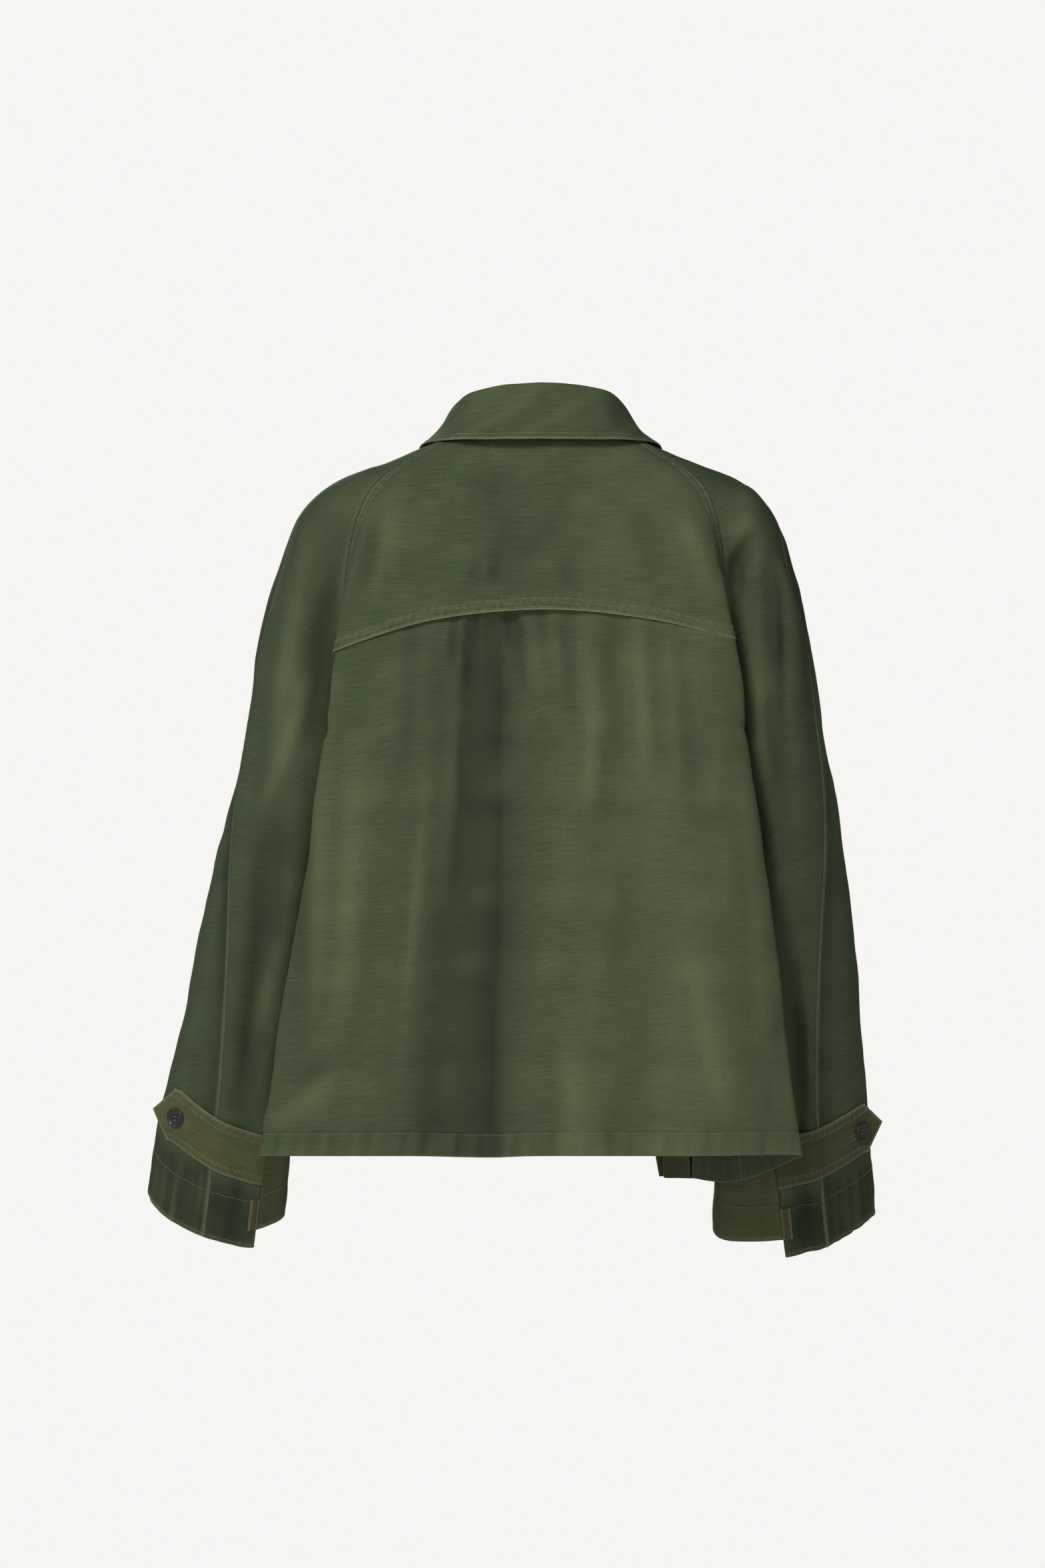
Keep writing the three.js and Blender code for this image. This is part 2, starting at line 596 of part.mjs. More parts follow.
function makeStrap(side) {
  const straight = STRAP.length - BUTTON.fromTip;
  const across = evenly(0, 1, 4);
  const lengths = [...evenly(SEAM_GAP, straight, 12), straight + 11, STRAP.length];
  const away = vector([SIDES[side].sign, 0.15, 0]).normalize();
  const grid = across.map((share) => {
    const level = THREE.MathUtils.lerp(STRAP.top, STRAP.bottom, share);
    const rise = SIDES[side].strapRise.map((mm) => mm / lastArmStep);
    const pointed = STRAP.tip * (1 - Math.abs(2 * share - 1));
    const row = lengths.map((length) => {
      const run = length > straight ? length - STRAP.tip + pointed : length;
      const reach = Math.min(run, straight);
      const at = level - THREE.MathUtils.lerp(...rise, reach / straight);
      const p = strapPath(side, at, reach);
      if (run <= straight) return p;
      // Past the button the strap is stiff, and runs straight on.
      const before = strapPath(side, at, straight - 6);
      const onward = p.clone().sub(before).normalize();
      return p
        .addScaledVector(onward, run - straight)
        .addScaledVector(away, (STRAP.lift * (run - straight)) / BUTTON.fromTip);
    });
    return side === "left" ? row.reverse() : row;
  });
  return panel(grid);
}

/** The strip that finishes the vent, over the seam of the cuff's back and under panels. */
function makeVent(side) {
  const rows = evenly(underEnd - VENT.length / lastArmStep, underEnd, 4);
  const reach = evenly(0, VENT.width, 2);
  const grid = rows.map((at) => {
    const row = reach.map((length) => strapPath(side, at, length + SEAM_GAP));
    return side === "left" ? row.reverse() : row;
  });
  return panel(grid);
}

/** The facing behind a front edge: the front's own columns nearest the edge, moved in. */
function makeFacing(side, front) {
  const nearest = (row) => (side === "left" ? row : row.slice(-FACING_COLUMNS - 1));
  return panel(
    front.grid.map((row, i) => {
      const normals = nearest(front.normals[i]);
      return nearest(row)
        .slice(0, FACING_COLUMNS + 1)
        .map((p, j) =>
          p
            .clone()
            .addScaledVector(normals[j], -(CLOTH + 2 * SEAM_GAP)),
        );
    }),
  );
}

/** A column of the collar's table at a share of the way from the back to a front end. */
const collarAt = (name, share) => cubic(COLLAR.rows, (row) => row[name], share);

/** The neck seam at q, from -1 at the left front edge to 1 at the right one. */
const neckCut = upperSection(0);
const neckPoint = (q) => neckCut.curve.getPointAt((q + 1) / 2);

/** The horizontal way out from the neck at q. */
function outwardAt(q) {
  const step = 0.02;
  const a = neckPoint(Math.max(q - step, -1));
  const b = neckPoint(Math.min(q + step, 1));
  return vector([b.y - a.y, -(b.x - a.x), 0]).normalize();
}

function standTop(q) {
  const lift = vector([0, 0, collarAt("stand", Math.abs(q))]);
  return neckPoint(q).add(lift).addScaledVector(outwardAt(q), -COLLAR.lean);
}

const collarShares = evenly(-1, 1, 26);

function makeStand() {
  const grid = evenly(1, 0, 3).map((height) =>
    collarShares.map((q) => {
      const foot = neckPoint(q).add(vector([0, 0, COLLAR.clear]));
      return foot.lerp(standTop(q), height).addScaledVector(outwardAt(q), DOUBLE_CLOTH / 2);
    }),
  );
  return panel(grid);
}

function fallEdge(q) {
  const edge = pointAt(COLLAR.rows, "edge", Math.abs(q));
  return vector([q < 0 ? edge.x : -edge.x, edge.y, edge.z]);
}

function makeFall() {
  const down = [0, 0.06, 0.13, 0.22, 0.42, 0.62, 0.82, 1];
  const columns = collarShares.map((q) => {
    const out = outwardAt(q);
    const start = standTop(q)
      .addScaledVector(out, -DOUBLE_CLOTH / 2)
      .add(vector([0, 0, COLLAR.clear]));
    const edge = fallEdge(q);
    const mid = start.clone().lerp(edge, 0.5).addScaledVector(out, 2);
    const profile = new THREE.CatmullRomCurve3(
      [
        start,
        start.clone().add(vector([0, 0, COLLAR.roll * 0.35])),
        start.clone().addScaledVector(out, 2.2).add(vector([0, 0, COLLAR.roll * 0.85])),
        start.clone().addScaledVector(out, 7).add(vector([0, 0, COLLAR.roll])),
        start.clone().addScaledVector(out, 11.5).add(vector([0, 0, COLLAR.roll * 0.35])),
        mid.add(vector([0, 0, 1])),
        edge,
      ],
      false,
      "centripetal",
    );
    return down.map((share) => profile.getPointAt(share));
  });
  const cloth = panel(down.map((_, i) => columns.map((column) => column[i])));
  // Its first row stands upright on the stand.
  cloth.normals[0] = collarShares.map((q) => outwardAt(q).negate());
  return cloth;
}

const wasm = await Module();
wasm.setup();

/** A closed geometry as a solid that can be cut. */
function solid(geometry) {
  const merged = geometry.index ? geometry : mergeByPlace(geometry);
  return new wasm.Manifold(
    new wasm.Mesh({
      numProp: 3,
      vertProperties: new Float32Array(merged.getAttribute("position").array),
      triVerts: new Uint32Array(merged.index.array),
    }),
  );
}

/** Joins the vertices of a geometry that lie at the same place. */
function mergeByPlace(geometry) {
  const source = geometry.index ? geometry.toNonIndexed() : geometry;
  const position = source.getAttribute("position");
  const seen = new Map();
  const [points, faces] = [[], []];
  for (let i = 0; i < position.count; i++) {
    const p = [position.getX(i), position.getY(i), position.getZ(i)];
    const key = p.map((value) => Math.round(value * 1e4)).join();
    if (!seen.has(key)) {
      seen.set(key, seen.size);
      points.push(...p);
    }
    faces.push(seen.get(key));
  }
  const kept = [];
  for (let i = 0; i < faces.length; i += 3) {
    const [a, b, c] = faces.slice(i, i + 3);
    if (a !== b && b !== c && a !== c) kept.push(a, b, c);
  }
  const merged = new THREE.BufferGeometry();
  merged.setAttribute("position", new THREE.Float32BufferAttribute(points, 3));
  merged.setIndex(kept);
  return merged;
}

/** A four-hole button, lying on z = 0 with its face up. */
function buttonGeometry() {
  const { radius, thick, rim } = BUTTON;
  const profile = [
    [0, 0], [radius * 0.72, 0], [radius, thick * 0.4], [radius - 0.3, thick * 0.9],
    [radius - rim, thick], [radius - rim * 1.8, thick * 0.68], [0, thick * 0.62],
  ].map(([x, y]) => new THREE.Vector2(x, y));
  const disc = new THREE.LatheGeometry(profile, BUTTON.sides).rotateX(Math.PI / 2);
  let body = solid(mergeByPlace(disc));
  for (const [x, y] of [[1, 1], [-1, 1], [-1, -1], [1, -1]]) {
    const hole = new THREE.CylinderGeometry(BUTTON.hole, BUTTON.hole, thick * 3, 6)
      .rotateX(Math.PI / 2)
      .translate((x * BUTTON.holeSpread) / 1.4, (y * BUTTON.holeSpread) / 1.4, 0);
    body = body.subtract(solid(mergeByPlace(hole)));
  }
  const cut = body.getMesh();
  const geometry = new THREE.BufferGeometry();
  geometry.setAttribute("position", new THREE.BufferAttribute(cut.vertProperties, 3));
  geometry.setIndex(new THREE.BufferAttribute(cut.triVerts, 1));
  return geometry;
}

const jacket = new THREE.Group();

const FINISH = {
  shell: { color: SHELL_GREEN, roughness: 0.9, metalness: 0 },
  trim: { color: TRIM_OLIVE, roughness: 0.9, metalness: 0 },
  button: { color: BUTTON_BROWN, roughness: 0.35, metalness: 0 },
};

/** Adds a named piece to the jacket. */
function add(name, geometry, finish) {
  const mesh = new THREE.Mesh(geometry, new THREE.MeshStandardMaterial(FINISH[finish]));
  mesh.name = name;
  jacket.add(mesh);
  return mesh;
}

/** How far a panel rises above a plane within `reach` of a point of it. */
function highest(cloth, point, normal, reach) {
  const shares = evenly(0, 1, 6);
  let most = 0;
  cloth.grid.slice(0, -1).forEach((row, i) => {
    const below = cloth.grid[i + 1];
    row.slice(0, -1).forEach((p, j) => {
      if (p.distanceTo(point) > 12 * reach) return;
      for (const down of shares) {
        for (const across of shares) {
          const left = p.clone().lerp(below[j], down);
          const right = row[j + 1].clone().lerp(below[j + 1], down);
          const from = left.lerp(right, across).sub(point);
          if (from.length() < reach) most = Math.max(most, from.dot(normal));
        }
      }
    });
  });
  return most;
}

/** Lays a button on a panel's outer side, just clear of the cloth under it. */
function layButton(name, cloth, point, normal, down, out) {
  const mesh = add(name, buttonGeometry(), "button");
  const up = down.clone().negate().addScaledVector(normal, down.dot(normal)).normalize();
  const across = up.clone().cross(normal);
  const lift = highest(cloth, point, normal, BUTTON.radius + 1) + out + SEAM_GAP;
  mesh.quaternion.setFromRotationMatrix(new THREE.Matrix4().makeBasis(across, up, normal));
  mesh.position.copy(point).addScaledVector(normal, lift);
}

const allRows = (rows) => rows.map((_, i) => i);

const yoke = makeYoke();
const backPanel = makeBackPanel();
const panels = { left: {}, right: {} };
for (const side of ["left", "right"]) {
  panels[side] = {
    front: makeFront(side),
    sleeveBack: makeSleeveBack(side),
    sleeveFront: makeSleeveFront(side),
    sleeveUnder: makeSleeveUnder(side),
  };
}

for (const side of ["left", "right"]) {
  const { front, sleeveBack, sleeveFront, sleeveUnder } = panels[side];
  const isLeft = side === "left";
  const [first, last] = isLeft ? [0, -1] : [-1, 0];
  // Overarm seam, then the raglan seams, then the seams of the under panel and the side.
  sew(sleeveBack, first, sleeveFront, last, allRows(sleeveRows));
  sew(front, last, sleeveFront, first, allRows(upperRows));
  const yokeRows = yoke.grid.map((_, i) => i);
  sew(yoke, first, sleeveBack, last, yokeRows);
  const backRow = (i) => backPanelRows.indexOf(sleeveRows[i]);
  const sharedRows = allRows(upperRows).filter((i) => upperRows[i] > YOKE_EDGE);
  sew(sleeveBack, last, backPanel, first, sharedRows, backRow);
  const sideRows = allRows(bodyRows).filter((i) => bodyRows[i] > UNDERARM);
  sew(front, last, backPanel, first, sideRows, (i) => backPanelRows.indexOf(bodyRows[i]));
  const underShared = allRows(sleeveRows).filter((i) => underRows.includes(sleeveRows[i]));
  const underRow = (i) => underRows.indexOf(sleeveRows[i]);
  const armOnly = underShared.filter((i) => sleeveRows[i] > UNDERARM);
  sew(sleeveBack, last, sleeveUnder, first, armOnly, underRow);
  sew(sleeveFront, first, sleeveUnder, last, armOnly, underRow);
  // The under panel's top corners lie part of the way down the sleeve's own seam edges.
  const corner = upperRows.length - 1;
  for (const [cloth, end, own] of [[sleeveBack, last, first], [sleeveFront, first, last]]) {
    const [above, below] = [cloth.normals[corner].at(end), cloth.normals[corner + 1].at(end)];
    const top = sleeveUnder.normals[0];
    top[own < 0 ? top.length - 1 : own] = above.clone().lerp(below, UNDER_DROP);
  }
}

add("back_yoke", wall(yoke), "shell");
add("back_panel", wall(backPanel), "shell");
add("collar_stand", wall(makeStand(), { thick: DOUBLE_CLOTH }), "shell");
add("collar_fall", wall(makeFall(), { thick: DOUBLE_CLOTH }), "shell");

for (const side of ["left", "right"]) {
  const { front, sleeveBack, sleeveFront, sleeveUnder } = panels[side];
  add("front_" + side, wall(front), "shell");
  add("facing_" + side, wall(makeFacing(side, front)), "trim");
  add("sleeve_back_" + side, wall(sleeveBack), "shell");
  add("sleeve_front_" + side, wall(sleeveFront), "shell");
  add("sleeve_under_" + side, wall(sleeveUnder), "trim");

  const strap = makeStrap(side);
  const strapOut = DOUBLE_CLOTH + SEAM_GAP;
  add("cuff_strap_" + side, wall(strap, { thick: DOUBLE_CLOTH, out: strapOut }), "trim");
  add("vent_strip_" + side, wall(makeVent(side), { out: CLOTH + SEAM_GAP }), "trim");
  const middle = strap.grid[2];
  const k = side === "left" ? 2 : middle.length - 3;
  const normal = strap.normals[2][k];
  const down = strap.grid[3][k].clone().sub(middle[k]).normalize();
  layButton("cuff_button_" + side, strap, middle[k], normal, down, strapOut);
}

// The front's buttons are on the left edge, one above the other.
const { front: buttonFront } = panels.left;
FRONT_BUTTONS.rows.forEach((i, n) => {
  const [row, normals] = [buttonFront.grid[i], buttonFront.normals[i]];
  let [k, travelled] = [0, 0];
  while (travelled + row[k].distanceTo(row[k + 1]) < FRONT_BUTTONS.inset) {
    travelled += row[k].distanceTo(row[k + 1]);
    k += 1;
  }
  const share = (FRONT_BUTTONS.inset - travelled) / row[k].distanceTo(row[k + 1]);
  const seat = row[k].clone().lerp(row[k + 1], share);
  const normal = normals[k].clone().lerp(normals[k + 1], share).normalize();
  const name = "front_button_" + (n + 1);
  layButton(name, buttonFront, seat, normal, vector([0, 0, -1]), 0);
});

export default jacket;
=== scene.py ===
"""Looks of an open raglan field jacket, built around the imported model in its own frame.

The cloth is thin shells on the smooth form of the solids. The form is given in millimetres by
short tables, worked out as whole numpy arrays and turned to metres when a mesh is made.
"""

import logging
from collections.abc import Callable
from dataclasses import dataclass, replace
from enum import Enum
from typing import NamedTuple

import bpy
import numpy as np
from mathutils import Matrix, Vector
from mathutils.bvhtree import BVHTree


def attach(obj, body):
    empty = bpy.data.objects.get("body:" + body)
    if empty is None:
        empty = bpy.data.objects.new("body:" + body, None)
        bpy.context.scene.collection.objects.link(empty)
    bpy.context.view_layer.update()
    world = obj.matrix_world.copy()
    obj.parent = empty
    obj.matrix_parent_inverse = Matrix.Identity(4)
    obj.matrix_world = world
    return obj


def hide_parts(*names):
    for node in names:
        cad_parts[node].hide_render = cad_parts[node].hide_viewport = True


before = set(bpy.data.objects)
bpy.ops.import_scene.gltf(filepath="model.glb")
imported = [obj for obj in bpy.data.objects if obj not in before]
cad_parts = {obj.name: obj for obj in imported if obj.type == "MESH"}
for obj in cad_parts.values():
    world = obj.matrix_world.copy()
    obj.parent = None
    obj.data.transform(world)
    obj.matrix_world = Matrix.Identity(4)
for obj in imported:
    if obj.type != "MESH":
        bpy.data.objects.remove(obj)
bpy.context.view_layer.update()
LOG = logging.getLogger("jacket")
Array = np.ndarray
Point = tuple[float, float, float]
Tree, Socket = bpy.types.NodeTree, bpy.types.NodeSocket
Given = Socket | tuple[float, ...] | float

CLOTH = 1.5  # one layer of the solids, mm
SEAM_GAP = 0.3  # air between two layers of the solids, mm
# Sections of the form are numbered from the neck down.
YOKE_EDGE, UNDERARM, HEM, CUFF_END = 5.0, 6.0, 8.0, 11.0
TUCK_END = 4.72  # where the lower back begins, behind the yoke's edge
BODY_JOIN, SLEEVE_JOIN = 6.15, 6.25  # the first sections past the blend at the underarm
UNDER_START = 6.09  # where the panel under the arm begins
CUFF_TOP, CUFF_DRAWN = 10.1, 10.35  # where the strap starts to draw the cuff in, and has done so
SWAY, SWAY_BY = 6.0, 5.5  # the hem hangs this far to the wearer's left, mm, from this section on


class Side(Enum):
    """The wearer's side, and the sign of x there."""

    LEFT = 1
    RIGHT = -1

    @property
    def label(self) -> str:
        """The side's name, as the nodes have it."""
        return self.name.lower()


class Edge(Enum):
    """One of a panel's four edges."""

    TOP = "top"
    BOTTOM = "bottom"
    FIRST = "first"
    LAST = "last"


class BodyRow(NamedTuple):
    """Named points of one half of the body at one section, mm.

    Where crisp is 0 the back turns softly into the side, and where it is 1, sharply.
    """

    at: float
    crisp: float
    centre: Point
    fold: Point
    seam: Point
    front_seam: Point
    chest: Point
    edge: Point


BODY = (
    BodyRow(0, 0, (0, 62, 40), (36, 57, 39), (60, 40, 35), (63, -28, 16), (48, -54, -6),
            (20, -72, -26)),
    BodyRow(1, 0, (0, 74, 14), (62, 67, 15), (104, 54, 9), (94, -50, -14), (68, -72, -34),
            (22, -90, -52)),
    BodyRow(2, 0, (0, 82, -18), (104, 75, -16), (141, 66, -18), (122, -66, -46), (86, -92, -68),
            (25, -106, -82)),
    BodyRow(3, 0.2, (0, 88, -54), (140, 82, -50), (157, 67, -48), (141, -70, -84), (108, -108, -106),
            (29, -120, -118)),
    BodyRow(4, 0.6, (0, 91, -92), (160, 82, -100), (167, 52, -98), (155, -60, -124), (128, -112, -146),
            (34, -130, -160)),
    BodyRow(5, 1, (0, 94, -133), (176, 76, -166), (171, 32, -166), (165, -38, -176), (142, -112, -190),
            (40, -138, -204)),
    BodyRow(6, 1, (0, 98, -212), (182, 72, -226), (171, 15, -232), (171, -17, -232), (150, -108, -240),
            (46, -142, -252)),
    BodyRow(BODY_JOIN, 1, (0, 99, -236), (185, 72, -248), (165, -1, -247), (165, -1, -247),
            (152, -108, -262), (49, -143, -274)),
    BodyRow(7, 1, (0, 114, -398), (210, 78, -405), (177, 4, -412), (177, 4, -412), (168, -112, -420),
            (76, -148, -430)),
    BodyRow(8, 1, (0, 136, -605), (239, 90, -610), (192, 16, -634), (192, 16, -634), (178, -122, -650),
            (116, -150, -652)),
)


class CapRow(NamedTuple):
    """Named points of the sleeve's cap at one section, mm."""

    at: float
    back: Point
    over: Point
    outer: Point
    front: Point


CAP = (
    CapRow(0, (68, 22, 31), (72, 6, 27), (73, -4, 24), (70, -18, 20)),
    CapRow(1, (120, 36, 7), (126, 8, 5), (126, -8, 1), (114, -32, -6)),
    CapRow(2, (169, 44, -15), (180, 8, -14), (178, -14, -18), (154, -46, -30)),
    CapRow(3, (202, 48, -48), (213, 12, -46), (214, -16, -50), (188, -52, -64)),
    CapRow(4, (213, 52, -100), (227, 20, -97), (235, -14, -98), (204, -58, -108)),
    CapRow(5, (215, 54, -164), (243, 18, -160), (249, -14, -160), (212, -58, -168)),
)


class ArmRow(NamedTuple):
    """A ring of the sleeve below the underarm, mm and degrees."""

    at: float
    centre: Point
    wide: float
    deep: float
    lean_out: float
    lean_forward: float
    over: float
    back_seam: float
    front_seam: float


ARM = (
    ArmRow(5, (204, 4, -150), 45, 55, 0, 0, 18, 163, -163),
    ArmRow(6, (214, -1, -232), 45, 55, 0, 0, 18, 163, -163),
    ArmRow(7, (231, -12, -315), 47, 56, 5, 7, 35, 150, -152),
    ArmRow(8, (248, -34, -424), 51, 55, 8, 12, 58, 136, -142),
    ArmRow(9, (262, -58, -532), 57, 53, 10, 16, 68, 124, -138),
    ArmRow(10, (273, -78, -620), 63, 51, 11.5, 19, 69, 117, -135),
    ArmRow(11, (281, -92, -690), 66, 50, 12, 21, 68, 114, -135),
)


@dataclass(frozen=True)
class Hang:
    """What differs between the sides, mm and degrees.

    Attributes:
        cuff: How far the cuff's centre is moved.
        widen: How much wider the cuff is.
        twist: How far the seams are turned round the cuff.
        over_turn: How far the overarm seam is turned besides.
        chest, edge, seam, fold: How far these points are moved at the hem.
        dent: How far the side is pushed in at the hem.
        yoke_end: How far the yoke's end is moved.
        strap_rise: How far up the sleeve the strap lies at its seam and at its button.
    """

    cuff: Point
    widen: float
    twist: float
    over_turn: float
    chest: Point
    edge: Point
    seam: Point
    fold: Point
    dent: float
    yoke_end: Point
    strap_rise: tuple[float, float]


HANG = {
    Side.LEFT: Hang((15, 4, 3), 0, 14, 4, (10, 0, 20), (6, 0, 22), (6, 0, 18), (4, 0, 0), 4,
                    (0, 0, -3), (9, 27)),
    Side.RIGHT: Hang((-41, 14, -6), 12, -16, 18, (-44, 0, -4), (4, 0, -4), (-8, 6, -6), (-4, 0, 0), 14,
                     (0, 0, 8), (14, 16)),
}


def smooth(low: float, high: float, x: Array) -> Array:
    """Smooth step: 0 below low, 1 above high, and 3t^2 - 2t^3 between."""
    t = np.clip((np.asarray(x, float) - low) / (high - low), 0, 1)
    return t * t * (3 - 2 * t)


def between(low: float, high: float, x: Array, ease: float = 0.5) -> Array:
    """A smooth rise just after low and a smooth fall just before high."""
    return smooth(low, low + ease, x) * (1 - smooth(high - ease, high, x))


def bump(distance: Array, half: float | Array) -> Array:
    """Bell curve: e to the minus square of distance over half width."""
    return np.exp(-((distance / half) ** 2))


def unit(way: Array) -> Array:
    """The same directions with length 1."""
    return way / np.maximum(np.linalg.norm(way, axis=-1, keepdims=True), 1e-9)


def length_along(points: Array, axis: int = 0) -> Array:
    """Length from the first point to each one along an axis, adding up the chords."""
    total = np.cumsum(np.linalg.norm(np.diff(points, axis=axis), axis=-1), axis=axis)
    return np.insert(total, 0, 0.0, axis=axis)


def quads(ids: Array) -> Array:
    """The square faces of a grid of vertex numbers, (F, 4)."""
    return np.stack([ids[:-1, :-1], ids[1:, :-1], ids[1:, 1:], ids[:-1, 1:]], -1).reshape(-1, 4)


def tube(rings: int, count: int) -> Array:
    """The faces between rings of vertices, numbered ring by ring, (F, 4)."""
    ids = np.arange(rings * count).reshape(rings, count)
    return quads(np.hstack([ids, ids[:, :1]]).T)


def ripple(s: Array, period: float, seed: float) -> Array:
    """Uneven puckers from 0 to 1: three sines whose periods have no common multiple."""
    k = 2 * np.pi / period
    wave = np.sin(k * s + seed) + 0.7 * np.sin(k * s * 0.618 + 2.1 * seed)
    return 0.5 + 0.25 * (wave + 0.5 * np.sin(k * s * 1.73 + seed * 3.7)) / 1.1


def cubic(knots: Array, values: Array, at: Array) -> Array:
    """Hermite cubic through rows, with slopes from each row's neighbours.

    Args:
        knots: The rows' sections, (N,).
        values: The rows' values, (N, K).
        at: Where to read them, (R,).

    Returns:
        The values at each place, (R, K).
    """
    last = len(knots) - 1
    k = np.arange(last + 1)
    low, high = np.maximum(k - 1, 0), np.minimum(k + 1, last)
    slopes = (values[high] - values[low]) / (knots[high] - knots[low])[:, None]
    i = np.clip(np.searchsorted(knots, at), 1, last) - 1
    step = (knots[i + 1] - knots[i])[:, None]
    s = np.clip((at[:, None] - knots[i][:, None]) / step, 0, 1)
    rise = values[i + 1] - values[i]
    m0, m1 = slopes[i] * step, slopes[i + 1] * step
    return values[i] + s * (m0 + s * (3 * rise - 2 * m0 - m1 + s * (m0 + m1 - 2 * rise)))


def column(rows: tuple, name: str, at: Array) -> Array:
    """A named column of a table read at each section, (R, K)."""
    knots = np.array([row.at for row in rows], float)
    values = np.array([getattr(row, name) for row in rows], float).reshape(len(rows), -1)
    return cubic(knots, values, np.atleast_1d(np.asarray(at, float)))


@dataclass
class Section:
    """Smooth curves through named points, one curve per row.

    Attributes:
        points: The named points of every row, (R, N, 3).
        index: Which point a name is.
        closed: Whether the last point joins the first.
    """

    points: Array
    index: dict[str, int]
    closed: bool = False

    @property
    def spans(self) -> int:
        """How many stretches lie between the points."""
        return self.points.shape[1] - (0 if self.closed else 1)

    def sample(self, t: Array) -> Array:
        """Centripetal Catmull-Rom: each stretch is a cubic, and its end slopes are weighted by
        the square roots of the distances between its four nearest points.

        Args:
            t: Places along the curve, in stretches, (C,) or one row of them per row, (R, C).

        Returns:
            The points, (R, C, 3).
        """
        rows, count = self.points.shape[:2]
        t = np.broadcast_to(t, (rows, np.shape(t)[-1]))
        r, k = np.arange(rows)[:, None], np.floor(t).astype(int)
        if self.closed:
            p0, p1, p2, p3 = (self.points[r, (k + i) % count] for i in (-1, 0, 1, 2))
        else:
            k = np.clip(k, 0, count - 2)
            before = 2 * self.points[:, :1] - self.points[:, 1:2]
            after = 2 * self.points[:, -1:] - self.points[:, -2:-1]
            padded = np.concatenate([before, self.points, after], axis=1)
            p0, p1, p2, p3 = (padded[r, k + i] for i in range(4))
        w = (t - k)[..., None]

        def root(a: Array, b: Array) -> Array:
            """Square root of the distance between two sets of points."""
            return np.sqrt(np.linalg.norm(b - a, axis=-1, keepdims=True))

        tiny = 1e-2  # points that lie closer than this count as one
        d1 = root(p1, p2)
        d1 = np.where(d1 < tiny, 1.0, d1)
        d0, d2 = (np.where(d < tiny, d1, d) for d in (root(p0, p1), root(p2, p3)))
        m1 = ((p1 - p0) / d0 - (p2 - p0) / (d0 + d1) + (p2 - p1) / d1) * d1
        m2 = ((p2 - p1) / d1 - (p3 - p1) / (d1 + d2) + (p3 - p2) / d2) * d1
        c2 = -3 * p1 + 3 * p2 - 2 * m1 - m2
        c3 = 2 * p1 - 2 * p2 + m1 + m2
        return p1 + w * (m1 + w * (c2 + w * c3))

    def at_length(self, start: float, stop: float, reach: Array, share: bool) -> Array:
        """Places that lie at given lengths from a start, by adding up 24 chords per stretch.

        Args:
            start: Where to begin, in stretches.
            stop: Where the curve's part ends, which may lie before the start.
            reach: Lengths, one row of them per row, (R, C).
            share: Whether the lengths are shares of the part's whole length.

        Returns:
            The places, (R, C).
        """
        t = np.linspace(start, stop, int(abs(stop - start) * 24) + 1)
        length = length_along(self.sample(t), 1)
        if share:
            length = length / length[:, -1:]
        # Each row is moved past the one before, so that one reading serves all rows.
        shift = np.arange(len(length))[:, None] * (length.max() + 1)
        found = np.interp((reach + shift).ravel(), (length + shift).ravel(), np.tile(t, len(length)))
        return found.reshape(len(length), -1)

    def even(self, ends: tuple[str, str], shares: Array, weights: tuple[int, ...]) -> tuple:
        """Points at shares of the length from one named point to another.

        Args:
            ends: The names to start and end at.
            shares: Places between them from 0 to 1, (C,).
            weights: How many of the solid's columns each stretch has.

        Returns:
            The points, (R, C, 3), and where each lies among the solid's columns, 0 to 1.
        """
        a, b = self.index[ends[0]], self.index[ends[1]]
        if b <= a:
            b += self.spans
        rows = len(self.points)
        t = self.at_length(a, b, np.broadcast_to(shares, (rows, len(shares))), share=True)
        marks = np.concatenate([[0], np.cumsum(weights)]) / sum(weights)
        return self.sample(t), np.interp(t - a, np.arange(b - a + 1), marks)


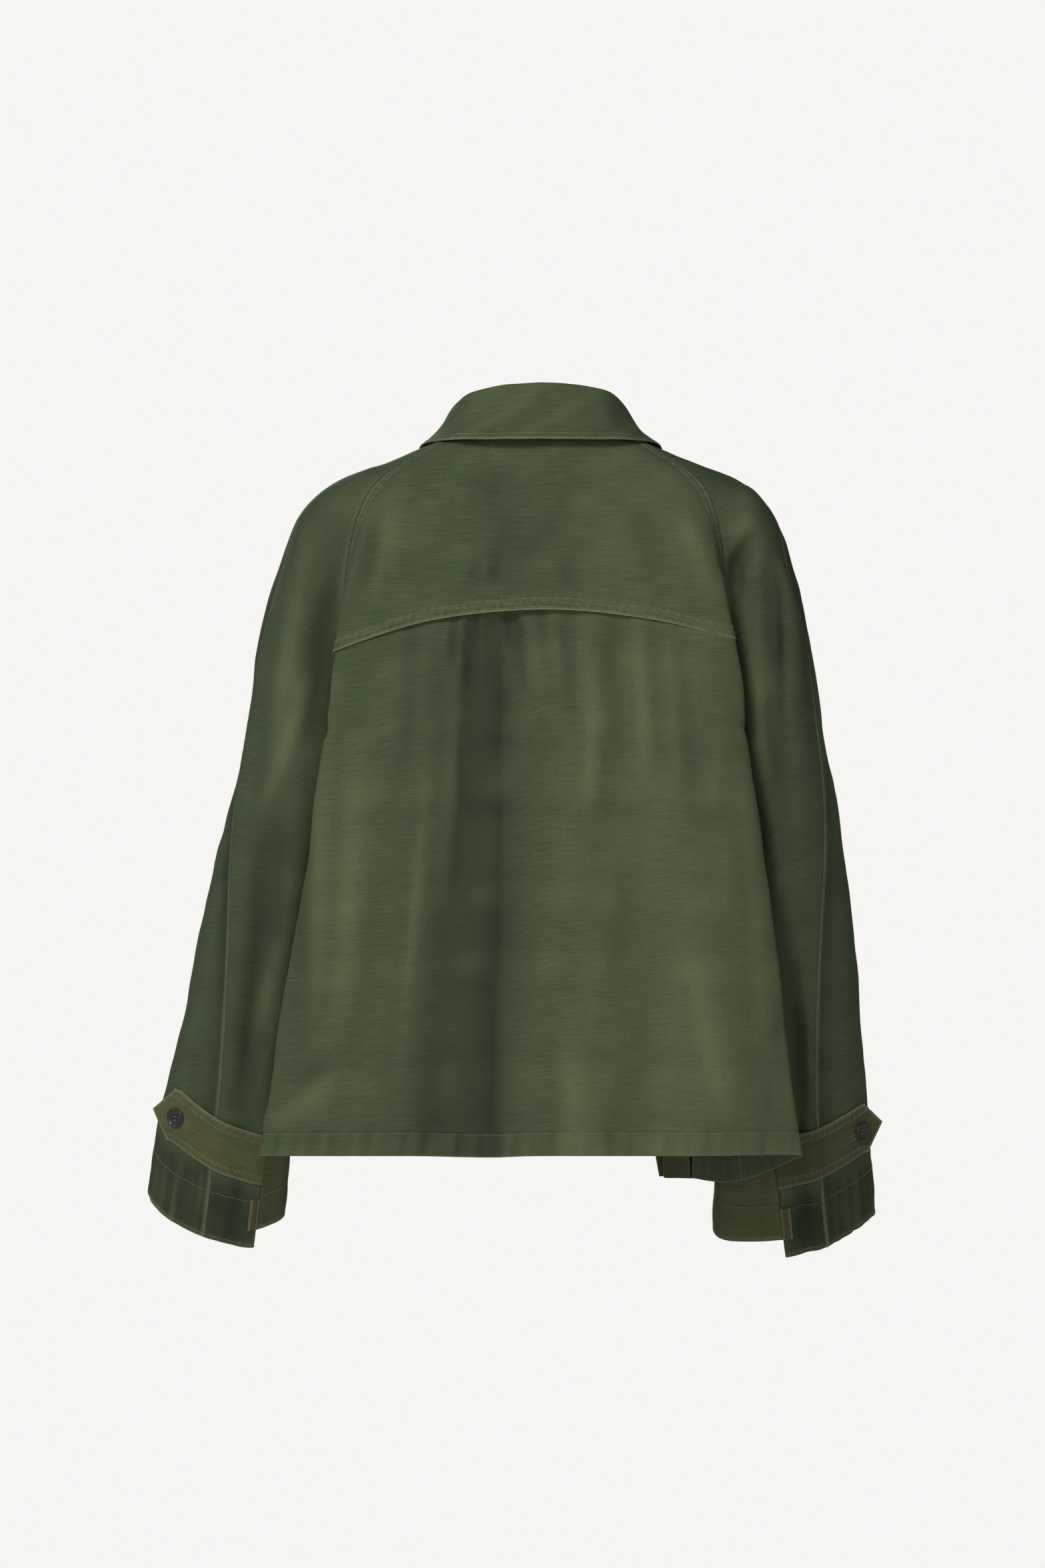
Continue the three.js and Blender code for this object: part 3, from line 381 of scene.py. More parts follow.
class Form:
    """The jacket's smooth form: body and sleeves as sections that run from neck to hem."""

    @staticmethod
    def place(side: Side, at: Array, points: Array) -> Array:
        """Puts points of the half that the tables give on their side, with the body's sway."""
        sway = SWAY * smooth(0, SWAY_BY, at)
        return np.stack([side.value * points[:, 0] + sway, points[:, 1], points[:, 2]], axis=1)

    @classmethod
    def body_points(cls, side: Side, at: Array) -> dict[str, Array]:
        """The body's named points on one side at each section."""
        half, hang = HANG[side], smooth(UNDERARM, HEM, at)[:, None]
        names = ("centre", "fold", "seam", "front_seam", "chest", "edge")
        p = {name: column(BODY, name, at) for name in names}
        for name, move in (("chest", half.chest), ("edge", half.edge), ("fold", half.fold),
                           ("seam", half.seam), ("front_seam", half.seam)):
            p[name] = p[name] + np.array(move) * hang
        near = (smooth(3.6, YOKE_EDGE, at) * (1 - smooth(YOKE_EDGE, UNDERARM, at)))[:, None]
        for name in ("fold", "seam"):
            p[name] = p[name] + np.array(half.yoke_end) * near
        # The shoulder blade swells between the centre and the fold, by its own share each way.
        p["blade"] = p["centre"] + (p["fold"] - p["centre"]) * np.array([0.55, 0.28, 0.3])
        # Past the fold the cloth turns softly at the yoke, and sharply in the hanging back.
        past = p["seam"] - p["fold"]
        soft, sharp = p["fold"] + past * 0.5 + [2, 3, 0], p["fold"] + past * 0.16 + [1, -1, 0]
        p["turn"] = soft + (sharp - soft) * column(BODY, "crisp", at)
        # The chest stands 8 mm forwards of a straight line. So does the side, as far down as
        # the underarm, where it also stands 6 mm out.
        p["breast"] = (p["chest"] + p["edge"]) / 2
        p["breast"][:, 1] -= 8 * smooth(0, 4, at)
        p["side"] = (p["front_seam"] + p["chest"]) / 2
        p["side"][:, 0] += 6 * (1 - hang[:, 0]) - half.dent * hang[:, 0]
        p["side"][:, 1] -= 8 * (1 - hang[:, 0])
        return {name: cls.place(side, at, points) for name, points in p.items()}

    @staticmethod
    def ring(side: Side, at: Array) -> dict[str, Array]:
        """The sleeve's ring: an ellipse, leaning out and forwards, read at the seams' angles."""
        half, hang = HANG[side], (smooth(UNDERARM, CUFF_END, at) ** 1.3)[:, None]
        centre = column(ARM, "centre", at) + np.array(half.cuff) * hang
        out = np.radians(column(ARM, "lean_out", at))
        forward = np.radians(column(ARM, "lean_forward", at))
        zero = np.zeros_like(out)
        across = np.hstack([np.cos(out), zero, np.sin(out)])
        backwards = np.hstack([zero, np.cos(forward), -np.sin(forward)])
        wide, deep = column(ARM, "wide", at) + half.widen * hang, column(ARM, "deep", at)

        def on_ring(degrees: Array) -> Array:
            """The ring's point at an angle from its outer side."""
            angle = np.radians(degrees + half.twist * hang)
            return centre + across * wide * np.cos(angle) + backwards * deep * np.sin(angle)

        over = column(ARM, "over", at) + half.over_turn
        back, front = column(ARM, "back_seam", at), column(ARM, "front_seam", at)
        return {
            "back_seam": on_ring(back), "back": on_ring((back + over) / 2), "over": on_ring(over),
            "outer": on_ring(over + (front - over) / 3),
            "front": on_ring(over + 2 * (front - over) / 3),
            "front_seam": on_ring(front), "under": on_ring(180 + (back + front) / 2),
        }

    @classmethod
    def cap_points(cls, side: Side, at: Array) -> dict[str, Array]:
        """The cap's named points, which run on into the first two rings."""
        marks = np.array([UNDERARM, UNDERARM + 1])
        rings = cls.ring(side, marks)
        knots = np.array([row.at for row in CAP] + list(marks), float)
        named = {}
        for name in ("back", "over", "outer", "front"):
            table = np.array([getattr(row, name) for row in CAP], float)
            values = np.vstack([table, rings[name]])
            named[name] = cls.place(side, at, cubic(knots, values, at))
        return named

    @classmethod
    def upper(cls, at: Array) -> Section:
        """Whole sections above the underarm, from the left front edge to the right one."""
        return cls.join([cls.body_points(side, at) | cls.cap_points(side, at) for side in Side],
                        ("edge", "breast", "chest", "side", "front_seam", "front", "outer",
                         "over", "back", "seam", "turn", "fold", "blade", "centre"))

    @classmethod
    def lower(cls, at: Array) -> Section:
        """The body's sections below the underarm."""
        return cls.join([cls.body_points(side, at) for side in Side],
                        ("edge", "breast", "chest", "side", "seam", "turn", "fold", "blade",
                         "centre"))

    @staticmethod
    def join(halves: list[dict[str, Array]], names: tuple[str, ...]) -> Section:
        """Joins the left and the right half's named points at the back's centre."""
        left, right = halves
        back = names[-2::-1]
        points = [left[name] for name in names] + [right[name] for name in back]
        order = [f"left.{name}" for name in names] + [f"right.{name}" for name in back]
        index = {name: i for i, name in enumerate(order)}
        index["right.centre"] = index["left.centre"]
        return Section(np.stack(points, axis=1), index)

    @classmethod
    def arm(cls, side: Side, at: Array) -> Section:
        """The sleeve's closed sections below the underarm."""
        order = ["front_seam", "front", "outer", "over", "back", "back_seam", "under"]
        names = order if side is Side.LEFT else order[:-1][::-1] + ["under"]
        ring = cls.ring(side, at)
        points = np.stack([cls.place(side, at, ring[name]) for name in names], axis=1)
        return Section(points, {name: i for i, name in enumerate(names)}, closed=True)


def steps(start: float, stop: float, size: float) -> Array:
    """Even steps of about the given size from start to stop, both included."""
    return np.linspace(start, stop, max(2, int(round((stop - start) / size)) + 1))


@dataclass(frozen=True)
class Mesh:
    """Spacing of a panel's rows and columns, mm: close together in a band by its edges."""

    size: float = 2.9
    fine: float = 1.1
    sides: float = 12.0
    bottom: float = 0.0

    def marks(self, length: float, low: float, high: float) -> Array:
        """Shares of a length, close together within `low` of its start and `high` of its end."""
        parts = [steps(low, length - high, self.size)]
        if low:
            parts.insert(0, steps(0, low, self.fine)[:-1])
        if high:
            parts.append(steps(length - high, length, self.fine)[1:])
        return np.concatenate(parts) / length


@dataclass
class Cloth:
    """A cloth surface as a grid whose rows run down and whose columns run round.

    Attributes:
        grid: Outer points, mm, (R, C, 3).
        at: The section of each row, (R,).
        share: Where each point lies among the solid's columns, 0 to 1, (R, C).
        wear: Pale wear, with painted light in places, 0 to 1, (R, C).
        shade: How far painted shade darkens it, 0 to 1, (R, C).
        level: Whether its weft runs level instead of along the rows.
    """

    grid: Array
    at: Array
    share: Array
    wear: Array = None
    shade: Array = None
    level: bool = False

    def __post_init__(self) -> None:
        """Starts unworn, with no painted light and no painted shade."""
        self.wear = np.zeros(self.share.shape) if self.wear is None else self.wear
        self.shade = np.zeros(self.share.shape) if self.shade is None else self.shade

    @property
    def normals(self) -> Array:
        """Outward normals: the cross product of the way down and the way round."""
        return unit(np.cross(np.gradient(self.grid, axis=0), np.gradient(self.grid, axis=1)))

    @property
    def across(self) -> Array:
        """Length along each row from its first column, mm."""
        return length_along(self.grid, 1)

    @property
    def down(self) -> Array:
        """Length along each column from its first row, mm."""
        return length_along(self.grid)

    def from_edge(self, edge: Edge) -> Array:
        """Distance from an edge, mm, (R, C)."""
        run = self.across if edge in (Edge.FIRST, Edge.LAST) else self.down
        if edge in (Edge.FIRST, Edge.TOP):
            return run
        return run[:, -1:] - run if edge is Edge.LAST else run[-1:] - run

    def along_edge(self, edge: Edge) -> Array:
        """Distance along an edge, mm, (R, C)."""
        return self.down if edge in (Edge.FIRST, Edge.LAST) else self.across

    def raised(self, height: Array | float) -> "Cloth":
        """The same cloth moved along its normals by a height, mm, one for all or (R, C)."""
        return replace(self, grid=self.grid + self.normals * np.asarray(height)[..., None])

    def mottled(self, wide: float, wide_seed: float, long: float, long_seed: float) -> Array:
        """Patches from 0 to 1, where uneven waves round the cloth cross those down it, mm."""
        return ripple(self.across, wide, wide_seed) * ripple(self.down, long, long_seed)

    def trimmed(self, cut: Array) -> "Cloth":
        """Shorter at the lower end: every column is drawn up by its own cut, mm, (R, C).

        Each point moves to a place further up its column, between two rows. The shift grows
        from nothing at three quarters of the way down to the whole cut at the last row.
        """
        rows, cols = self.share.shape
        row = np.arange(rows)[:, None]
        spacing = self.down[-1] - self.down[-2]
        back = cut / spacing * smooth(0.75 * rows, rows - 1, row)
        place = np.clip(row - back, 0, rows - 1.001)  # so that a row always follows
        low = place.astype(int)
        part = (place - low)[..., None]
        col = np.arange(cols)[None]
        grid = self.grid[low, col] * (1 - part) + self.grid[low + 1, col] * part
        return replace(self, grid=grid)

    def line(self, edge: Edge, distance: float) -> tuple[Array, Array]:
        """The line at a distance from an edge, read between the grid's own lines.

        Args:
            edge: The edge to follow.
            distance: How far in from it, mm.

        Returns:
            Points and normals along the line.
        """
        d, grid, normals = self.from_edge(edge), self.grid, self.normals
        if edge in (Edge.TOP, Edge.BOTTOM):
            d, grid, normals = d.T, grid.transpose(1, 0, 2), normals.transpose(1, 0, 2)
        if edge in (Edge.LAST, Edge.BOTTOM):
            d, grid, normals = d[:, ::-1], grid[:, ::-1], normals[:, ::-1]
        keep = d[:, -1] > distance
        d, grid, normals = d[keep], grid[keep], normals[keep]
        k = np.clip((d < distance).sum(axis=1), 1, d.shape[1] - 1)
        rows = np.arange(len(d))
        low, high = d[rows, k - 1], d[rows, k]
        t = ((distance - low) / np.maximum(high - low, 1e-6))[:, None]
        p = grid[rows, k - 1] * (1 - t) + grid[rows, k] * t
        return p, unit(normals[rows, k - 1] * (1 - t) + normals[rows, k] * t)

    def near(self, point: Array) -> tuple[Array, Array]:
        """The grid's point nearest to a place, and its normal."""
        far = np.linalg.norm(self.grid - point, axis=-1)
        k = np.unravel_index(np.argmin(far), far.shape)
        return self.grid[k], self.normals[k]


@dataclass(frozen=True)
class Course:
    """Which part of the form a panel covers, above the underarm and below it.

    Attributes:
        above: Gives the sections down to the underarm.
        ends_above: The named points that its rows run between there.
        weights: How many of the solid's columns each stretch has.
        below: Gives the sections from `join` down.
        ends_below: The named points that its rows run between there.
        join: The first section below. Rows between it and the underarm are straight blends.
        part: The share of each row that the panel takes.
    """

    above: Callable[[Array], Section]
    ends_above: tuple[str, str]
    weights: tuple[int, ...]
    below: Callable[[Array], Section] | None = None
    ends_below: tuple[str, str] = ("", "")
    join: float = UNDERARM
    part: tuple[float, float] = (0.0, 1.0)

    def lay(self, at: Array, shares: Array) -> tuple[Array, Array]:
        """The points and their places among the solid's columns, (R, C, 3) and (R, C)."""
        shares = self.part[0] + shares * (self.part[1] - self.part[0])
        high, low = at[at <= UNDERARM], at[at >= self.join]
        if self.below is None:
            return self.above(high).even(self.ends_above, shares, self.weights)
        top = self.above(np.append(high, UNDERARM)).even(self.ends_above, shares, self.weights)
        low = np.insert(low, 0, self.join)
        foot = self.below(low).even(self.ends_below, shares, self.weights)
        middle = at[(at > UNDERARM) & (at < self.join)]
        t = ((middle - UNDERARM) / max(self.join - UNDERARM, 1e-6))[:, None]
        parts = []
        for upper, lower in zip(top, foot):
            mix = t[..., None] if upper.ndim == 3 else t
            parts.append(np.concatenate(
                [upper[:-1], upper[-1:] * (1 - mix) + lower[:1] * mix, lower[1:]]))
        return parts[0], parts[1]

    def weave(self, start: float, stop: float, mesh: Mesh) -> Cloth:
        """The panel's cloth from one section to another, with evenly spaced rows.

        A first coarse grid measures the panel, and the rows are then placed by length.
        """
        coarse = np.linspace(start, stop, 140)  # about 6 mm apart on a sleeve
        guess, _ = self.lay(coarse, np.linspace(0, 1, 25))
        length = length_along(guess).mean(axis=1)
        wide = length_along(guess, 1)[:, -1].mean()
        rows = mesh.marks(length[-1], 0, mesh.bottom) * length[-1]
        at = np.interp(rows, length, coarse)
        at[0], at[-1] = start, stop
        grid, share = self.lay(at, mesh.marks(wide, mesh.sides, mesh.sides))
        return Cloth(grid, at, share)


def srgb(code: str, alpha: float = 1.0) -> tuple[float, float, float, float]:
    """An sRGB hex colour as linear values."""
    c = np.array([int(code[i:i + 2], 16) for i in (1, 3, 5)]) / 255
    linear = np.where(c <= 0.04045, c / 12.92, ((c + 0.055) / 1.055) ** 2.4)
    return (*(float(x) for x in linear), alpha)


def add_node(tree: Tree, kind: str, given: dict | None = None,
             out: int | str = 0) -> Socket | None:
    """Adds a shader node.

    Args:
        tree: The material's tree.
        kind: The node's type.
        given: A value or a socket to link, by input name or number, or a value by property name.
        out: The output to read.

    Returns:
        That output's socket, or None where the node has none.
    """
    node = tree.nodes.new(kind)
    for key, value in (given or {}).items():
        if isinstance(value, Socket):
            tree.links.new(value, node.inputs[key])
        elif isinstance(key, int) or key in node.inputs:
            node.inputs[key].default_value = value
        else:
            setattr(node, key, value)
    return node.outputs[out] if len(node.outputs) else None


def cleared(owner: bpy.types.Material | bpy.types.World) -> Tree:
    """The empty node tree of a new material or world."""
    owner.use_nodes = True
    owner.node_tree.nodes.clear()
    return owner.node_tree


def noise(tree: Tree, at: Socket, scale: float, detail: float, rough: float = 0.5,
          bent: float = 0.0) -> Socket:
    """Soft noise from 0 to 1. Its spots are about 1 / scale wide, in the units of `at`."""
    return add_node(tree, "ShaderNodeTexNoise", {
        "Vector": at, "Scale": scale, "Detail": detail, "Roughness": rough, "Distortion": bent})


def spread(tree: Tree, value: Socket, low: float, high: float, least: float = 0.0,
           most: float = 1.0) -> Socket:
    """Stretches what lies between low and high over least to most."""
    return add_node(tree, "ShaderNodeMapRange", {
        "Value": value, "From Min": low, "From Max": high, "To Min": least, "To Max": most})


def blend(tree: Tree, amount: Given, first: Given, second: Given, kind: str = "RGBA") -> Socket:
    """Mixes two colours or floats, each one a value or a socket, by an amount from 0 to 1."""
    slot, out = (6, 2) if kind == "RGBA" else (2, 0)  # where the node keeps this kind
    return add_node(tree, "ShaderNodeMix", {
        "data_type": kind, 0: amount, slot: first, slot + 1: second}, out)


@dataclass(frozen=True)
class ClothFinish:
    """Woven cotton: matt, with slubs along the weft, a fine twill and worn pale edges.

    Attributes:
        name: What the cloth is.
        slot: The record's material slot.
        base: Its colour.
        deep: Its darker threads and the mottled wash.
        worn: Where edges and ridges are worn pale, and where light is painted on.
        dark: The tone of painted shade, as in troughs, in seams and at the cuffs.
        slub_mm: Length and thickness of a slub.
        grain_mm: Pitch of the grain in the bump.
        relief: Depth of the bump, mm.
        sheen: Soft light from the raised fibres.
    """

    name: str
    slot: str
    base: str
    deep: str
    worn: str
    dark: str
    slub_mm: tuple[float, float] = (26.0, 1.1)
    grain_mm: float = 0.9
    relief: float = 0.12
    sheen: float = 0.04

    def material(self) -> bpy.types.Material:
        """Builds the material on the piece's own UV map, which is in metres of cloth.

        A pattern's scale is therefore 1000 over its size in mm. The mottled wash, with a scale
        of 22, has spots of about 45 mm.
        """
        mat = bpy.data.materials.new(self.name)
        tree = cleared(mat)
        uv = add_node(tree, "ShaderNodeUVMap", {"uv_map": "cloth"})
        long, thick = (1000 / mm for mm in self.slub_mm)
        slub_at, warp_at = (add_node(tree, "ShaderNodeMapping", {"Scale": scale, "Vector": uv})
                            for scale in ((long, thick, 1), (thick * 0.9, long * 1.3, 1)))
        slubs = noise(tree, slub_at, 1.0, 3.0, 0.6)
        warp = noise(tree, warp_at, 1.0, 2.0)
        wash = noise(tree, uv, 22.0, 5.0, 0.62)
        grain = noise(tree, uv, 1000 / self.grain_mm, 2.0, 0.7)
        weave = blend(tree, 0.22, spread(tree, slubs, 0.4, 0.6), spread(tree, warp, 0.3, 0.7),
                      "FLOAT")
        tone = blend(tree, 0.2, weave, spread(tree, wash, 0.3, 0.7), "FLOAT")
        ground = blend(tree, tone, srgb(self.deep), srgb(self.base))
        # Painted shade mixes in the dark tone; pale wear and painted light mix in the worn colour.
        darker, rubbed = (add_node(tree, "ShaderNodeAttribute", {"attribute_name": label}, "Fac")
                          for label in ("shade", "wear"))
        painted_shade = blend(tree, darker, ground, srgb(self.dark))
        amount = add_node(tree, "ShaderNodeMath", {
            "operation": "MULTIPLY", "use_clamp": True,
            0: rubbed, 1: spread(tree, warp, 0.25, 0.75, 0.8)})
        height = add_node(tree, "ShaderNodeMath", {"operation": "ADD", 0: weave, 1: grain})
        relief = add_node(tree, "ShaderNodeBump", {
            "Strength": 0.55, "Distance": self.relief / 1000, "Height": height})
        shader = add_node(tree, "ShaderNodeBsdfPrincipled", {
            "Base Color": blend(tree, amount, painted_shade, srgb(self.worn)), "Normal": relief,
            "Roughness": 0.88, "Specular IOR Level": 0.25, "Sheen Weight": self.sheen,
            "Sheen Roughness": 0.55, "Sheen Tint": srgb(self.worn)})
        add_node(tree, "ShaderNodeOutputMaterial", {"Surface": shader})
        return mat


# Cotton sateen, piece dyed a dark olive green: matt, with weft slubs and pale rubbed edges.
SHELL = ClothFinish("sateen_olive_green", "shell", "#4f5b3f", "#3d4831", "#79875f", "#2e3625")
# Cotton twill, olive brown: the straps, facings and under sleeves.
TRIM = ClothFinish("twill_olive_brown", "trim", "#5a5c3b", "#484a2f", "#8a8b68", "#3e3f28")


@dataclass(frozen=True)
class ThreadFinish:
    """Spun polyester sewing thread: a pale grey-green, slightly glossy."""

    name: str = "sewing_thread_grey_green"
    colour: str = "#8f957c"
    dark: str = "#5e6450"

    def material(self) -> bpy.types.Material:
        """Builds the material. A noise of about 1.1 mm, 1 / 900 m, is the thread's twist."""
        mat = bpy.data.materials.new(self.name)
        tree = cleared(mat)
        twist = noise(tree, add_node(tree, "ShaderNodeTexCoord", out="Object"), 900.0, 1.0)
        shader = add_node(tree, "ShaderNodeBsdfPrincipled", {
            "Base Color": blend(tree, twist, srgb(self.dark), srgb(self.colour)),
            "Roughness": 0.6, "Specular IOR Level": 0.35})
        add_node(tree, "ShaderNodeOutputMaterial", {"Surface": shader})
        return mat


@dataclass(frozen=True)
class ButtonFinish:
    """Cast polyester made to look like dark horn: brown, cloudy and softly polished."""

    name: str = "polyester_horn_brown"
    base: str = "#1d1614"
    cloud: str = "#352620"

    def material(self) -> bpy.types.Material:
        """Builds the material: a stretched noise of about 7 mm, 1 / 150 m, clouds the horn."""
        mat = bpy.data.materials.new(self.name)
        tree = cleared(mat)
        spot = add_node(tree, "ShaderNodeTexCoord", out="Object")
        at = add_node(tree, "ShaderNodeMapping", {"Scale": (1, 1, 2.4), "Vector": spot})
        cloud = spread(tree, noise(tree, at, 150.0, 3.0, bent=0.8), 0.45, 0.75)
        shader = add_node(tree, "ShaderNodeBsdfPrincipled", {
            "Base Color": blend(tree, cloud, srgb(self.base), srgb(self.cloud)),
            "Roughness": 0.34, "IOR": 1.52, "Coat Weight": 0.15, "Coat Roughness": 0.2})
        add_node(tree, "ShaderNodeOutputMaterial", {"Surface": shader})
        return mat


Finish = ClothFinish | ThreadFinish | ButtonFinish


class Workroom:
    """Turns arrays into pieces and dresses them."""

    def __init__(self) -> None:
        """Starts with no materials."""
        self.finishes: dict[str, bpy.types.Material] = {}

    def material(self, finish: Finish) -> bpy.types.Material:
        """The finish's material, made on first use."""
        if finish.name not in self.finishes:
            self.finishes[finish.name] = finish.material()
        return self.finishes[finish.name]

    def piece(self, name: str, points: Array, faces: list[Array],
              finish: Finish, slot: str) -> bpy.types.Object:
        """Makes an object from points in mm and arrays of faces.

        Args:
            name: The piece's name.
            points: Vertices, (V, 3), mm.
            faces: Arrays of vertex numbers, one array per face size.
            finish: What it is made of.
            slot: The record's material slot. It is not used.

        Returns:
            The object, riding on the one body.
        """
        mesh = bpy.data.meshes.new(name)
        mesh.from_pydata(points / 1000, [], [face for group in faces for face in group.tolist()])
        mesh.materials.append(self.material(finish))
        mesh.shade_smooth()
        obj = bpy.data.objects.new(name, mesh)
        bpy.context.scene.collection.objects.link(obj)
        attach(obj, "root")
        LOG.info("%s: %d faces", name, len(mesh.polygons))
        return obj

    def shell(self, name: str, cloth: Cloth, finish: ClothFinish, thick: float) -> bpy.types.Object:
        """A closed shell: the cloth, the same points moved in, and a rounded rim between them.

        Args:
            name: The piece's name.
            cloth: The outer surface.
            finish: The cloth.
            thick: The wall, mm.

        Returns:
            The object, with UVs in metres of cloth, and its pale wear with painted light and its
            painted shade as attributes.
        """
        rows, cols = cloth.share.shape
        outer, inner = cloth.grid, cloth.grid - cloth.normals * thick
        ids = np.arange(rows * cols).reshape(rows, cols)
        ring = np.concatenate([ids[0, :-1], ids[:-1, -1], ids[-1, :0:-1], ids[:0:-1, 0]])
        i, j = np.unravel_index(ring, ids.shape)
        # The rim stands out by 0.3 of the wall, away from the grid's nearest inner point.
        inside = np.clip(i, 1, rows - 2), np.clip(j, 1, cols - 2)
        rim = (outer[i, j] + inner[i, j]) / 2 + unit(outer[i, j] - outer[inside]) * thick * 0.3
        points = np.concatenate([outer.reshape(-1, 3), inner.reshape(-1, 3), rim])
        face = quads(ids)
        mid = 2 * ids.size + np.arange(len(ring))
        after, mid_after = np.roll(ring, -1), np.roll(mid, -1)
        lip = np.stack([ring, after, mid_after, mid], 1)
        under = np.stack([mid, mid_after, after + ids.size, ring + ids.size], 1)
        obj = self.piece(name, points, [face, face[:, ::-1] + ids.size, lip, under],
                         finish, finish.slot)
        # A level weft is read from the point's height, a little turned by its depth.
        v = 0.4 * cloth.grid[..., 1] - cloth.grid[..., 2] if cloth.level else cloth.down
        u = cloth.across
        flat = np.stack([u - u.mean(axis=1, keepdims=True), v], -1) / 1000
        uv = np.concatenate([flat.reshape(-1, 2), flat.reshape(-1, 2), flat[i, j]])
        mesh = obj.data
        loops = np.empty(len(mesh.loops), int)
        mesh.loops.foreach_get("vertex_index", loops)
        mesh.uv_layers.new(name="cloth").data.foreach_set("uv", uv[loops].ravel())
        for label, value, part in (("wear", cloth.wear, 0.5), ("shade", cloth.shade, 1.0)):
            marks = np.concatenate([value.ravel(), value.ravel() * part, value[i, j]])
            mesh.attributes.new(label, "FLOAT", "POINT").data.foreach_set("value", marks)
        return obj


@dataclass(frozen=True)
class Stitch:
    """A row of machine stitches, mm."""

    pitch: float = 3.2
    length: float = 2.5
    wide: float = 0.65
    tall: float = 0.5


STRAP_HOLE = Stitch(1.1, 1.0, 0.9, 0.5)  # laid close, along a strap's buttonhole
FRONT_HOLE = Stitch(1.0, 0.9, 0.9, 0.6)  # the same round a front's
SHANK = Stitch(4.2, 4.1, 0.6, 0.5)  # the thread from one hole of a button to another


class Stitching:
    """All rows of visible stitches, gathered and made into one piece."""

    def __init__(self) -> None:
        """Starts with none."""
        self.batches: list[Array] = []

    def run(self, points: Array, normals: Array, kind: Stitch = Stitch()) -> None:
        """Sews along a line: each stitch is a short rod that dips into the cloth at both ends.

        Args:
            points: The line, mm, (N, 3).
            normals: The cloth's normals along it.
            kind: Size of the stitches.
        """
        along = length_along(points)
        count = int(along[-1] / kind.pitch)
        if count < 1:
            return
        middle = (np.arange(count) + 0.5) * kind.pitch + (along[-1] - count * kind.pitch) / 2

        def read(values: Array, s: Array) -> Array:
            """Reads values at lengths along the line."""
            return np.stack([np.interp(s, along, values[:, k]) for k in range(3)], -1)

        places = np.linspace(-0.5, 0.5, 5)
        s = (middle[:, None] + places * kind.length).ravel()
        normal = unit(read(normals, s).reshape(count, 5, 3))
        # The rod's middle stands on the cloth, and its ends are sunk in it.
        lift = kind.tall * (0.42 - 3.4 * np.abs(places) ** 3)
        axis = read(points, s).reshape(count, 5, 3) + normal * lift[:, None]
        side = np.cross(unit(np.gradient(axis, axis=1)), normal)
        angle = np.arange(5) * 2 * np.pi / 5
        size = np.array([0.35, 0.92, 1.0, 0.92, 0.35])[None, :, None, None]
        ring = (side[:, :, None] * (np.cos(angle)[:, None] * kind.wide / 2)
                + normal[:, :, None] * (np.sin(angle)[:, None] * kind.tall / 2))
        self.batches.append(axis[:, :, None] + ring * size)

    def make(self, room: Workroom, name: str) -> bpy.types.Object:
        """Makes one piece of all the stitches: five rings of five points, closed at both ends."""
        rods = np.concatenate(self.batches).reshape(-1, 25, 3)
        ends = np.array([[4, 3, 2, 1, 0], [20, 21, 22, 23, 24]])
        first = (np.arange(len(rods)) * 25)[:, None, None]
        faces = [(tube(5, 5) + first).reshape(-1, 4), (ends + first).reshape(-1, 5)]
        return room.piece(name, rods.reshape(-1, 3), faces, ThreadFinish(), "trim")


@dataclass(frozen=True)
class Crease:
    """A soft trough or ridge laid on the cloth.

    Attributes:
        path: Points (x, z) of its line as seen from behind, mm, from the top down.
        half: Half width, mm.
        depth: Height of the ridge, or less than 0 for a trough, mm.
        other: Half width towards the wearer's right, where it differs.
        keen: Power of its falling off: 2 for a bell, and less for a sharper line.
        taper: Power of its fading towards both ends.
    """

    path: tuple[tuple[float, float], ...]
    half: float
    depth: float
    other: float = 0.0
    keen: float = 2.0
    taper: float = 0.6

    def relief(self, grid: Array) -> Array:
        """A bell across the line, which fades to nothing towards its two ends."""
        line = np.array(self.path, float)
        flat = grid[..., [0, 2]]
        nearest = np.full(flat.shape[:2], 1e9)
        share, side = np.zeros(flat.shape[:2]), np.zeros(flat.shape[:2])
        lengths = np.linalg.norm(np.diff(line, axis=0), axis=-1)
        starts = length_along(line)
        for k, (a, b) in enumerate(zip(line[:-1], line[1:])):
            way, rel = b - a, flat - a
            t = np.clip((rel @ way) / max(lengths[k] ** 2, 1e-9), 0, 1)
            d = np.linalg.norm(rel - t[..., None] * way, axis=-1)
            near = d < nearest
            share = np.where(near, (starts[k] + t * lengths[k]) / starts[-1], share)
            side = np.where(near, rel[..., 0] * way[1] - rel[..., 1] * way[0], side)
            nearest = np.minimum(nearest, d)
        half = np.where(side > 0, self.other or self.half, self.half)
        far = np.sqrt(nearest ** 2 + 4) - 2  # rounds the line's very top off, over 2 mm
        fade = np.sin(np.pi * np.clip(share, 0, 1)) ** self.taper
        return self.depth * np.exp(-((far / half) ** self.keen)) * fade


def swell(grid: Array, size: float, seed: float) -> Array:
    """Soft uneven swelling from -1 to 1: six waves in different directions, each bent a little
    by the next one, so that none of them repeats in sight.

    Args:
        grid: The cloth's points, mm.
        size: Mean length of a wave, mm.
        seed: Shifts every wave.

    Returns:
        The swelling, (R, C).
    """
    total = np.zeros(grid.shape[:2])
    bend = np.zeros(grid.shape[:2])
    for k in range(6):
        angle = 0.95 * np.sin(seed + 2.4 * k)
        way = np.array([np.cos(angle), 0.5 * np.sin(1.7 * k + seed), np.sin(angle)])
        phase = grid @ way * (2 * np.pi / (size * (0.7 + 0.16 * k))) + 1.9 * k + seed
        bend = np.sin(phase + 0.9 * bend)
        total += bend
    return total / 6


@dataclass(frozen=True)
class Fold:
    """A long fold across the back, as the solids have it, mm and sections."""

    x: float
    hem_x: float
    half: float
    depth: float
    start: float
    stop: float


